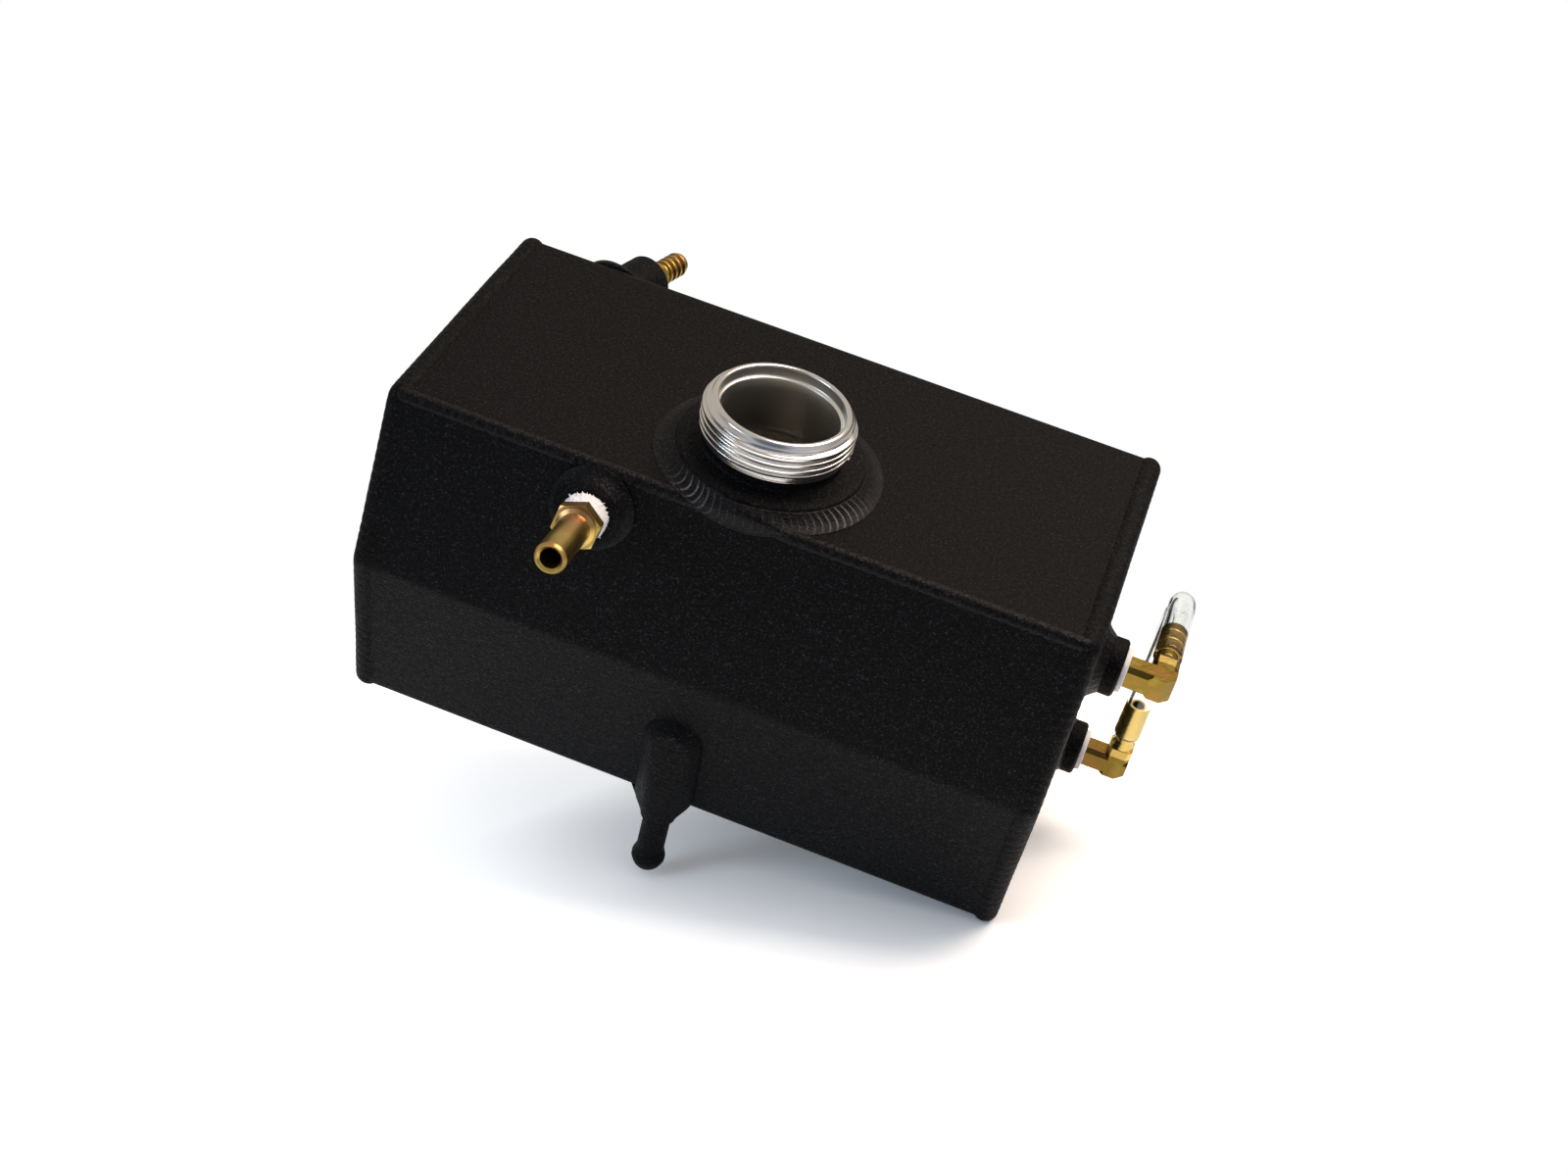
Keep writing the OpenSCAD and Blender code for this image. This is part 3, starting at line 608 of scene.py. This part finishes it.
# %% [markdown]
# ## The weld around each end
# Each end plate is welded into the folded sheet all the way round, so the bead is one closed loop.
# It could be a round bar bent along the outline, but a bar would poke into the hollow. Here the
# section is the bead's visible arc outside and a return path buried in the sheet and the plate.
# Every point of the section has its own inset from the outline, and follows the outline at that
# inset, so that corners stay clean. Weld ripples are crescents: their phase runs along the path
# and lags toward both toes.

# %% The outline and its insets
OUTLINE = np.array([[0.0, 0.0], [TOP_DEPTH, 0.0], [TOP_DEPTH, -TANK_HEIGHT],
                    [0.0, -TANK_HEIGHT], [-NOSE_REACH, -NOSE_DROP]])
BEAD_R = 4.8
BEAD_IN = 3.6
RIPPLE_PITCH = 3.9


class OutlinePath:
    """Stations round the tank's outline in (Y, Z), usable at any inset.

    Corner i turns about the point whose inset is R, so a point at inset d turns with radius R - d.
    A station is (1 - t) * corner i + t * corner i + 1, plus (R - d) along its outward normal.
    """

    def __init__(self, step, corner_steps):
        count = len(OUTLINE)
        to_before = unit(np.roll(OUTLINE, 1, 0) - OUTLINE)
        to_after = unit(np.roll(OUTLINE, -1, 0) - OUTLINE)
        inward = unit(to_before + to_after)
        half = np.arccos((to_before * to_after).sum(1)) / 2
        reach = inward / np.sin(half)[:, None]
        side_normal = np.stack([-to_after[:, 1], to_after[:, 0]], 1)
        foot, arm, normal = [], [], []
        for i in range(count):
            j = (i + 1) % count
            a0 = np.arctan2(side_normal[i - 1][1], side_normal[i - 1][0])
            turn = np.pi - 2 * half[i]
            angles = a0 - np.linspace(0, turn, corner_steps)
            normal.append(np.stack([np.cos(angles), np.sin(angles)], 1))
            foot.append(np.repeat(OUTLINE[i][None], corner_steps, 0))
            arm.append(np.repeat(reach[i][None], corner_steps, 0))
            run = np.linalg.norm(OUTLINE[j] - OUTLINE[i])
            t = np.arange(1, int(run / step)) / int(run / step)
            t = t[:, None]
            normal.append(np.repeat(side_normal[i][None], len(t), 0))
            foot.append((1 - t) * OUTLINE[i] + t * OUTLINE[j])
            arm.append((1 - t) * reach[i] + t * reach[j])
        self.foot, self.arm = np.concatenate(foot), np.concatenate(arm)
        self.normal = np.concatenate(normal)

    def at(self, inset):
        """Points in (Y, Z) for insets of shape (stations, columns)."""
        turn_inset = np.maximum(BEND_R, inset + 0.4)[..., None]
        inset = inset[..., None]
        return (self.foot[:, None] + turn_inset * self.arm[:, None]
                + (turn_inset - inset) * self.normal[:, None])

    def along(self, inset):
        """Distance along the path at one inset, and the whole loop's length."""
        p = self.at(np.full((len(self.foot), 1), float(inset)))[:, 0]
        steps = np.linalg.norm(np.roll(p, -1, 0) - p, axis=1)
        return np.concatenate([[0], np.cumsum(steps)[:-1]]), steps.sum()


outline_path = OutlinePath(0.5, 12)
print("stations round an end:", len(outline_path.foot),
      "loop length:", round(outline_path.along(BEAD_IN)[1], 1), "mm")


# %% End welds
def end_weld(name, at_left, seed):
    """The bead round one end: x = u from the end's face, section circle of radius r about
    (u, d) = (3.6, 3.6), r = 4.8 - depth * (1 - ripple)."""
    s, loop = outline_path.along(BEAD_IN)
    ripples = round(loop / RIPPLE_PITCH)
    angle = np.radians(np.linspace(-43, -227, 19))
    lean = np.linspace(-1, 1, len(angle))
    wander = smooth_noise(len(s), 60, seed)[:, None] * 0.25
    phase = s[:, None] / loop * ripples + wander + 0.55 * lean[None] ** 2
    depth = 0.16 + 0.10 * smooth_noise(len(s), 41, seed + 1)[:, None]
    radius = BEAD_R - depth * (1 - ripple(phase)) - 0.1 * (smooth_noise(len(s), 23, seed + 2)
                                                          + 1)[:, None]
    u = BEAD_IN + radius * np.cos(angle)
    d = BEAD_IN + radius * np.sin(angle)
    inner = np.array([(1.0, 6.3), (1.3, 4.0), (2.2, 2.9), (2.9, 2.2), (4.0, 1.3), (6.3, 1.0)])
    u = np.concatenate([u, np.repeat(inner[None, :, 0], len(s), 0)], 1)
    d = np.concatenate([d, np.repeat(inner[None, :, 1], len(s), 0)], 1)
    yz = outline_path.at(d)
    x = u if at_left else TANK_LENGTH - u
    return grid_mesh(name, [np.concatenate([x[..., None], yz], -1)], wrap_rows=True)


dress(end_weld("left_end_weld_beads", True, 11), black_coat, "black_coat", "left_end_weld")
dress(end_weld("right_end_weld_beads", False, 12), black_coat, "black_coat", "right_end_weld")

# %% [markdown]
# ## The front seam
# The two edges of the folded sheet meet at the front top corner. A single bead fills the open V
# between them and rounds the corner off. Its section is again an arc outside with a return path
# down to the root of the V. The ripples are crescents that show on the front side, about four
# millimetres apart. It is an open run, so its two ends are closed with flat faces inside the end
# welds.


# %% Seam weld
def seam_weld(name, seed):
    """The bead along the front seam: radius 2.75 - depth * (1 - ripple) about a point 2.6 inside."""
    inward = unit(unit(OUTLINE[4] - OUTLINE[0]) + unit(OUTLINE[1] - OUTLINE[0]))
    x = np.arange(WALL, TANK_LENGTH - WALL, 0.45)
    middle = np.degrees(np.arctan2(-inward[1], -inward[0]))
    angle = np.radians(middle + np.linspace(-80, 80, 19))
    lean = np.linspace(-1, 1, len(angle))
    wander = smooth_noise(len(x), 50, seed)[:, None] * 0.3
    phase = x[:, None] / RIPPLE_PITCH + wander - 0.5 * (lean[None] - 0.35) ** 2
    depth = 0.34 + 0.14 * smooth_noise(len(x), 37, seed + 1)[:, None]
    near_neck = np.clip((np.abs(x - NECK_FROM_LEFT) - 15) / 8, 0, 1)[:, None]
    depth = depth * (0.3 + 0.7 * near_neck)
    radius = 2.45 + 0.3 * near_neck - depth * (1 - ripple(phase))
    centre_point = inward * 2.6
    y = centre_point[0] + radius * np.cos(angle)
    z = centre_point[1] + radius * np.sin(angle)
    top = [(3.15, -0.4), (3.1, -2.9)]
    front = [UPPER_FACE * p - UPPER_NORMAL * q for p, q in ((3.15, 0.4), (3.1, 2.9))]
    root = inward * 4.4
    first_is_top = np.sin(angle[0]) > np.cos(angle[0]) and y[0, 0] > 0
    inner = ([front[0], front[1], root, top[1], top[0]] if first_is_top
             else [top[0], top[1], root, front[1], front[0]])
    inner = np.array([list(p) for p in inner])
    y = np.concatenate([y, np.repeat(inner[None, :, 0], len(x), 0)], 1)
    z = np.concatenate([z, np.repeat(inner[None, :, 1], len(x), 0)], 1)
    x = np.repeat(x[:, None], y.shape[1], 1)
    return grid_mesh(name, [np.stack([x, y, z], -1)])


dress(seam_weld("seam_weld_beads", 21), weld_coat, "black_coat", "seam_weld")

# %% [markdown]
# ## The weld around the neck
# The neck stands so near the front seam that its weld spills over the fold. The ring is worked out
# flat, as a distance and an angle from the neck's axis, and then laid over the fold: whatever lies
# beyond the seam is turned down along the front face. Its top is a concave fillet from the collar
# to the plate, with crescent ripples that stand out most at the front left and the front right:
# there they are deepest, and their crests carry a painted highlight.


# %% Neck weld
def drape(rho, theta, height):
    """Lays a flat ring over the front fold: distance beyond the seam runs down the front face."""
    x = NECK_FROM_LEFT + rho * np.cos(theta)
    run = NECK_FROM_SEAM + rho * np.sin(theta)
    beyond = np.maximum(-run, 0)
    blend = np.clip((3.0 - run) / 6.0, 0, 1)
    blend = blend * blend * (3 - 2 * blend)
    normal = unit((1 - blend)[..., None] * np.array([0.0, 1.0]) + blend[..., None] * UPPER_NORMAL)
    y = np.maximum(run, 0) + beyond * UPPER_FACE[0] + normal[..., 0] * height
    z = beyond * UPPER_FACE[1] + normal[..., 1] * height
    return np.stack([x, y, z], -1)


def fillet(q, high, toe, sag):
    """Height of a concave weld face: from high at q = 0 to toe at q = 1, hollowed by sag."""
    return high + (toe - high) * q - sag * np.sin(np.pi * q)


def neck_weld(name, seed):
    """Ring weld of height fillet(q) over rho = 33.6 + 7.1 q, plus crescent ripples."""
    collar, reach = 33.6, 7.1
    stations = 1100
    theta = np.arange(stations) * TAU / stations
    q = np.linspace(0, 1, 17)
    phase = theta[:, None] / TAU * 78 + 0.3 * smooth_noise(stations, 40, seed)[:, None]
    phase = phase + 3.0 * (q[None] - 0.5) ** 2
    depth = 0.07 + 0.06 * smooth_noise(stations, 31, seed + 1)[:, None]
    loud = np.exp(-((np.degrees(theta) - 330) / 16) ** 2) + 0.8 * np.exp(
        -((np.degrees(theta) - 243) / 12) ** 2)
    depth = (depth + 0.42 * loud[:, None]) * np.sin(np.pi * np.clip(q[None] * 1.1, 0.03, 1)) ** 0.5
    wide = reach * (1 + 0.05 * smooth_noise(stations, 17, seed + 2))[:, None]
    rho = collar + q[None] * wide
    height = fillet(q[None], 4.5, 0.25, 0.9) + depth * (coin(phase) - 0.6)
    height = np.maximum(height, 0.1)
    # crest weights each ripple's top, most at the front left and front right, for the weld coat's
    # painted highlight.
    crest = np.zeros((stations, len(q) + 4))
    crest[:, :len(q)] = coin(phase) ** 8 * (0.05 + loud[:, None]) * np.sin(np.pi * q[None]) ** 0.5
    under = [(collar + reach, -1.2), (collar + 3, -1.6), (collar - 0.6, -1.2), (collar - 0.6, 4.2)]
    rho = np.concatenate([rho, np.repeat([[p[0] for p in under]], stations, 0)], 1)
    height = np.concatenate([height, np.repeat([[p[1] for p in under]], stations, 0)], 1)
    draped = drape(rho, np.repeat(theta[:, None], rho.shape[1], 1), height)
    return mark_highlight_crests(grid_mesh(name, [draped], wrap_rows=True), crest)


dress(neck_weld("neck_weld_beads", 31), weld_coat, "black_coat", "neck_weld")

# %% [markdown]
# ## Ring welds of the small bungs
# The bungs and the mounting bosses are welded on by one pass each. The rings share one helper: a
# concave fillet about the fitting's own axis, standing on the wall that the fitting is welded to,
# with the same crescents. The fitting's axis can lean against the wall, so the foot of the ring
# follows the wall's plane.

# %% Places of the fittings
BUNG_R = 10.3


def turn_about(axis, degrees):
    """Rotation matrix about one of the three axes, counted 0, 1 and 2."""
    a = np.radians(degrees)
    c, s = np.cos(a), np.sin(a)
    m = np.eye(3)
    i, j = (axis + 1) % 3, (axis + 2) % 3
    m[i, i], m[i, j], m[j, i], m[j, j] = c, -s, s, c
    return m


front_foot = UPPER_FACE * 15.8
places = {
    "front": ((78.4, front_foot[0], front_foot[1]), turn_about(0, 77.4) @ turn_about(1, 2.2)),
    "rear": ((37.0, TOP_DEPTH, -16.4), turn_about(2, -16.4) @ turn_about(0, -90)),
    "upper": ((TANK_LENGTH, 24.0, -23.3), turn_about(1, 90)),
    "lower": ((TANK_LENGTH, 79.6, -109.3), turn_about(1, 90)),
    "left_mount": ((42.0, 72.0, -TANK_HEIGHT), turn_about(0, 180)),
    "right_mount": ((212.0, 72.0, -TANK_HEIGHT), turn_about(0, 180)),
}


def placed(place, local):
    """Points about a fitting's own axis, put in tank millimetres."""
    origin, turn = places[place]
    return np.asarray(origin) + local @ turn.T


def wall_height(place, wall_normal, x, y):
    """Local height of the wall's plane, which passes through the fitting's foot."""
    n = places[place][1].T @ np.asarray(wall_normal, float)
    return -(n[0] * x + n[1] * y) / n[2]


def ring_weld(name, place, wall_normal, r, width, high, seed, follow=1.0, depth=0.3):
    """One fillet ring: height fillet(q) over rho = r + width q, above the wall's plane."""
    stations = int(TAU * (r + width) / 0.48)
    theta = np.arange(stations) * TAU / stations
    q = np.linspace(0, 1, 13)
    ripples = round(TAU * (r + width / 2) / 3.3)
    phase = theta[:, None] / TAU * ripples + 0.3 * smooth_noise(stations, 13, seed)[:, None]
    phase = phase + 1.2 * (q[None] - 0.5) ** 2
    wave = depth * (coin(phase) - 0.7) * np.sin(np.pi * np.clip(q[None], 0.08, 1)) ** 0.5
    rho = r + q[None] * width * (1 + 0.05 * smooth_noise(stations, 9, seed + 1))[:, None]
    height = fillet(q[None], high, 0.6, 0.12 * high) + wave
    under = [(r + width, -1.3), (r + 0.5 * width, -1.5), (r - 0.5, -1.3), (r - 0.5, high - 0.2)]
    rho = np.concatenate([rho, np.repeat([[p[0] for p in under]], stations, 0)], 1)
    height = np.concatenate([height, np.repeat([[p[1] for p in under]], stations, 0)], 1)
    x, y = rho * np.cos(theta[:, None]), rho * np.sin(theta[:, None])
    ground = wall_height(place, wall_normal, x, y)
    lift = np.full(height.shape, follow)
    lift[:, len(q):len(q) + 3] = 1.0
    local = np.stack([x, y, ground * lift + height], -1)
    return grid_mesh(name, [placed(place, local)], wrap_rows=True)


front_normal = (0, UPPER_NORMAL[0], UPPER_NORMAL[1])
rings = [("front_bung_weld_beads", "front", front_normal, BUNG_R, 5.0, 5.6, 41, 1.0, "front_bung_weld"),
         ("rear_bung_weld_beads", "rear", (0, 1, 0), BUNG_R, 6.0, 6.6, 42, 0.35, "rear_bung_weld"),
         ("upper_sight_weld_beads", "upper", (1, 0, 0), BUNG_R, 4.5, 5.0, 43, 1.0, "upper_sight_weld"),
         ("lower_sight_weld_beads", "lower", (1, 0, 0), BUNG_R, 4.5, 5.0, 44, 1.0, "lower_sight_weld"),
         ("left_mount_weld_beads", "left_mount", (0, 0, -1), 11.0, 4.0, 4.4, 45, 1.0,
          "left_mount_weld"),
         ("right_mount_weld_beads", "right_mount", (0, 0, -1), 11.0, 4.0, 4.4, 46, 1.0,
          "right_mount_weld")]
for name, place, normal, r, width, high, seed, follow, cad in rings:
    dress(ring_weld(name, place, normal, r, width, high, seed, follow), weld_coat, "black_coat", cad)

# %% [markdown]
# ## The saddle weld of the outlet
# The outlet's boss is held by a heap of weld that climbs the lower front face. In the solids it is
# a convex hull of discs. Its faces are flat there, so the weld is made again from that solid's own
# outer planes: level rays from the wall are cut by every plane at once, the radii are smoothed, and
# level ripples are laid over them. The back stays buried in the sheet.


# %% Outlet weld
def outer_planes(name):
    """Normals and offsets, in tank millimetres, of the faces that no point of the node passes."""
    mesh = nodes[name].data
    normals = np.empty(len(mesh.polygons) * 3, np.float32)
    middles = np.empty(len(mesh.polygons) * 3, np.float32)
    mesh.polygons.foreach_get("normal", normals)
    mesh.polygons.foreach_get("center", middles)
    normals = normals.reshape(-1, 3).astype(float)
    shift = np.array([NECK_FROM_LEFT, NECK_FROM_SEAM, 0.0])
    middles = middles.reshape(-1, 3) * 1000 + shift
    offsets = (normals * middles).sum(1)
    points = node_points(name) * 1000 + shift
    outer = (points @ normals.T).max(0) < offsets + 0.02
    return normals[outer], offsets[outer]


def outlet_weld(name, seed):
    """Radii along level rays: r = min over planes of (offset - n.o) / n.d, smoothed, plus ripple."""
    normals, offsets = outer_planes("outlet_weld")
    fall = -87.3 - 48.0 * np.linspace(0, 1, 110) ** 1.25
    foot = np.array([-136.1, -136.9, -137.4, -137.85])
    z = np.concatenate([fall, foot])
    face = -NOSE_REACH * (TANK_HEIGHT + z) / (TANK_HEIGHT - NOSE_DROP)
    face[len(fall):] = 0.0
    angle = np.arange(160) * TAU / 160
    ray = np.stack([np.cos(angle), np.sin(angle), np.zeros(160)], 1)
    origin = np.stack([np.full(len(z), 125.5), face, z], 1)
    gap = offsets - origin @ normals.T
    slope = ray @ normals.T
    reach = np.where(slope[None] > 1e-3, gap[:, None] / np.maximum(slope[None], 1e-3), 99).min(2)
    reach = np.clip(reach, 0.3, 60)
    back = 1.3 / np.maximum(np.sin(angle), 1e-3)
    top = slice(0, len(fall))
    reach[top] = np.where(np.sin(angle) > 0, np.minimum(reach[top], back), reach[top])
    smooth = reach[top]
    for _ in range(10):
        smooth = (smooth + np.roll(smooth, 1, 1) + np.roll(smooth, -1, 1)) / 3
        inner = (smooth[:-2] + smooth[1:-1] + smooth[2:]) / 3
        smooth = np.concatenate([smooth[:1], inner, smooth[-1:]])
    ahead = np.clip(-np.sin(angle), 0, 1)[None]
    fade = np.clip((-90 - fall) / 4, 0, 1) * np.clip((fall + 124) / 10, 0.15, 1)
    wander = 0.4 * smooth_noise(len(fall), 9, seed)[:, None]
    phase = -fall[:, None] / 2.3 + wander + 1.3 * (np.cos(angle)[None] - 0.2) ** 2
    wave = coin(phase) - 0.6
    reach[top] = smooth + 0.24 * wave * ahead ** 0.5 * fade[:, None]
    return grid_mesh(name, [origin[:, None] + reach[..., None] * ray[None]])


dress(outlet_weld("outlet_weld_beads", 51), black_coat, "black_coat", "outlet_weld")

# %% [markdown]
# ## The neck with its real thread
# In the solids the thread is a stack of plain rings, as a stand-in. Here the neck is turned again
# as one closed grid with a true helix: radius = root + lift * profile(z / pitch - turn), where the
# lift fades in over the first part of a turn and out under the rim, as a cut thread does. The
# rest of the section is the solid's own: pilot, collar, relief, rim, mouth and bore.


# %% Threaded neck
def thread_profile(t):
    """Rounded thread ridge: flat root, quick flanks and a round crest, over one whole pitch."""
    t = t % 1.0
    rise = np.clip((0.5 - np.abs(t - 0.5)) / 0.34, 0, 1)
    return rise * rise * (3 - 2 * rise)


def filler_neck(name):
    """Closed section (r, z) swept about Z, with the helical thread between z = 9.9 and 22.7."""
    root, crest, low, high, turns = 25.4, 27.1, 9.9, 22.7, 5
    pitch = (high - low) / turns
    z_thread = np.linspace(low, high, 88)
    before = [(26.0, -3.2), (26.0, -0.1), (33.6, -0.1), (33.6, 4.5), (33.3, 5.2), (32.6, 5.5),
              (28.7, 5.5), (25.3, 5.5), (24.8, 5.7), (24.8, 7.5), (24.8, 9.4), (24.9, 9.8)]
    after = [(24.9, 23.0), (24.3, 23.9), (24.0, 24.4), (23.5, 24.7), (23.0, 24.7), (22.5, 24.7),
             (22.15, 24.4), (22.1, 24.0), (22.1, 20.9), (22.0, 20.6), (21.4, 20.3), (21.1, 20.15),
             (21.0, 19.9), (21.0, 14.0), (21.0, 7.0), (21.0, 0.0), (22.5, -3.2), (24.3, -3.2)]
    section = np.array(before + [(root, z) for z in z_thread] + after)
    columns = 240
    theta = np.arange(columns) * TAU / columns
    r = np.repeat(section[:, :1], columns, 1)
    z = np.repeat(section[:, 1:], columns, 1)
    on_thread = slice(len(before), len(before) + len(z_thread))
    helix = z[on_thread] - low - pitch * theta[None] / TAU
    ridge = thread_profile(helix / pitch)
    enter = np.clip(helix / pitch + 0.15, 0, 1)
    leave = np.clip((turns - 1 - helix / pitch) * 1.5 + 1, 0, 1)
    r[on_thread] = root + (crest - root) * ridge * enter * leave
    x, y = r * np.cos(theta), r * np.sin(theta)
    grid = np.stack([x + NECK_FROM_LEFT, y + NECK_FROM_SEAM, z], -1)
    piece = grid_mesh(name, [grid], wrap_rows=True)
    middle = np.empty(len(piece.data.polygons) * 3, np.float32)
    piece.data.polygons.foreach_get("center", middle)
    middle = middle.reshape(-1, 3)
    reach = np.hypot(middle[:, 0], middle[:, 1])
    coated = (middle[:, 2] < 0.0098) & (reach > 0.0235)
    dress(piece, bare_aluminium, "neck_aluminium", "filler_neck")
    piece.data.materials.append(black_coat)
    piece.data.materials.append(lightened_bore_aluminium)
    # The bore's faces take the lightened aluminium copy, which paints light into the bore.
    bored = reach < 0.0223
    piece.data.polygons.foreach_set("material_index", np.where(bored, 2, coated).astype(np.int32))
    return piece


filler_neck("threaded_filler_neck")

# %% [markdown]
# ## Thread tape
# White sealing tape is wound on each pipe thread before it is screwed in, and what is squeezed out
# stands up in rags. Each wrap is a closed tube whose outer wall is crumpled: its radius and its
# free edge follow seeded noise round the axis.


# %% Tape wraps
def tape_wrap(name, place, inner, low, profile, rag, cells, seed, cad):
    """A ragged tube: profile lists (height above low, radius), each point shifted by noise * rag."""
    stations = 260
    theta = np.arange(stations) * TAU / stations
    outer = np.array(profile)
    rho, z = [], []
    for k, (h, r) in enumerate(outer):
        swing = smooth_noise(stations, cells, seed + k) + 0.5 * smooth_noise(stations, 3 * cells,
                                                                            seed + 50 + k)
        free = 0.0 if k == 0 else rag
        tuft = np.clip(smooth_noise(stations, 5 * cells, seed + 90), 0, 1) ** 3 * (k in (1, 2))
        rho.append(r + free * (0.7 * swing + 2.2 * tuft))
        z.append(np.full(stations, low + h) + free * 0.5 * np.roll(swing, 9) * (k > 1))
    for h in (outer[-1][0] - 0.2, 0.0):
        rho.append(np.full(stations, inner))
        z.append(np.full(stations, low + h))
    rho, z = np.stack(rho, 1), np.stack(z, 1)
    local = np.stack([rho * np.cos(theta[:, None]), rho * np.sin(theta[:, None]), z], -1)
    return dress(grid_mesh(name, [placed(place, local)], wrap_rows=True), white_tape,
                 "thread_tape", cad)


tape_wrap("front_tape_rags", "front", 6.85, 7.9,
          [(0.0, 7.6), (0.3, 8.1), (0.9, 8.3), (1.5, 7.9), (2.2, 8.2), (2.7, 7.7), (3.4, 7.5),
           (4.4, 7.3), (5.4, 7.35), (6.4, 7.2)], 0.42, 26, 61, "front_thread_tape")
tape_wrap("rear_tape_rags", "rear", 5.15, 23.05,
          [(0.0, 7.2), (0.3, 7.6), (0.7, 7.7), (1.1, 7.3)], 0.16, 18, 71, "rear_thread_tape")
for place in ("upper", "lower"):
    tape_wrap(place + "_tape_rags", place, 5.15, 9.95,
              [(0.0, 7.6), (0.25, 7.9), (0.6, 7.75), (0.9, 7.95), (1.25, 7.7), (1.6, 7.9),
               (1.95, 7.6)], 0.10, 14, 81, place + "_elbow_tape")

# %% [markdown]
# ## The clear sight tube
# The solid tube is bored out over the hose tails so that nothing overlaps. Real vinyl clings to the
# rings, and then it works as a lens: the brass fills the tube's whole width. So the tube is made
# again with its plain bore right through, and the rings sit inside the vinyl, with no air between.


# %% Sight tube
def sight_tube(name):
    """Pipe of radii 4.95 and 3.2 along a straight run, a quarter bend of radius 12.5 and a drop."""
    x, high, back = TANK_LENGTH + 24.0, -23.3, 79.6
    start, end, bend = 39.3, -94.0, 12.5
    run = np.linspace(start, back - bend, 24)
    turn = np.linspace(0, np.pi / 2, 26)[1:-1]
    drop = np.linspace(high - bend, end, 50)
    y = np.concatenate([run, back - bend + bend * np.sin(turn), np.full(50, back)])
    z = np.concatenate([np.full(24, high), high - bend + bend * np.cos(turn), drop])
    lean = np.concatenate([np.zeros(24), turn, np.full(50, np.pi / 2)])
    s = np.concatenate([[0], np.cumsum(np.hypot(np.diff(y), np.diff(z)))])
    stretched = np.exp(-(s / 9) ** 4) + np.exp(-((s[-1] - s) / 9) ** 4)
    around = np.arange(64) * TAU / 64
    walls = []
    for r in (4.9 + 0.14 * stretched, np.full(len(s), 3.2)):
        side = r[:, None] * np.cos(around)
        out = r[:, None] * np.sin(around)
        walls.append(np.stack([x + side, y[:, None] + out * np.sin(lean)[:, None],
                               z[:, None] + out * np.cos(lean)[:, None]], -1))
    return grid_mesh(name, [np.concatenate([walls[0], walls[1][::-1]])], wrap_rows=True)


dress(sight_tube("clear_sight_tube"), clear_vinyl, "clear_tube", "sight_tube")

# %% [markdown]
# ## Finishes on the solids
# Every solid that is still shown gets the finish of its slot. The new pieces have theirs already.

# %% Dress the solids
finish_of = {"black_coat": black_coat, "neck_aluminium": bare_aluminium,
             "fitting_brass": brass, "thread_tape": white_tape, "clear_tube": clear_vinyl}
slots = {s["node"]: s["material_slot"] for s in frame["record"]["subparts"]}
for name, node in nodes.items():
    finish = finish_of[slots[name]]
    if name in ("folded_shell", "left_end_plate", "right_end_plate"):
        finish = shell_coat
    elif name.endswith("_elbow"):
        finish = elbow_brass
    node.data.materials.clear()
    node.data.materials.append(finish)
print(len(nodes), "solids have their finish")

low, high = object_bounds()
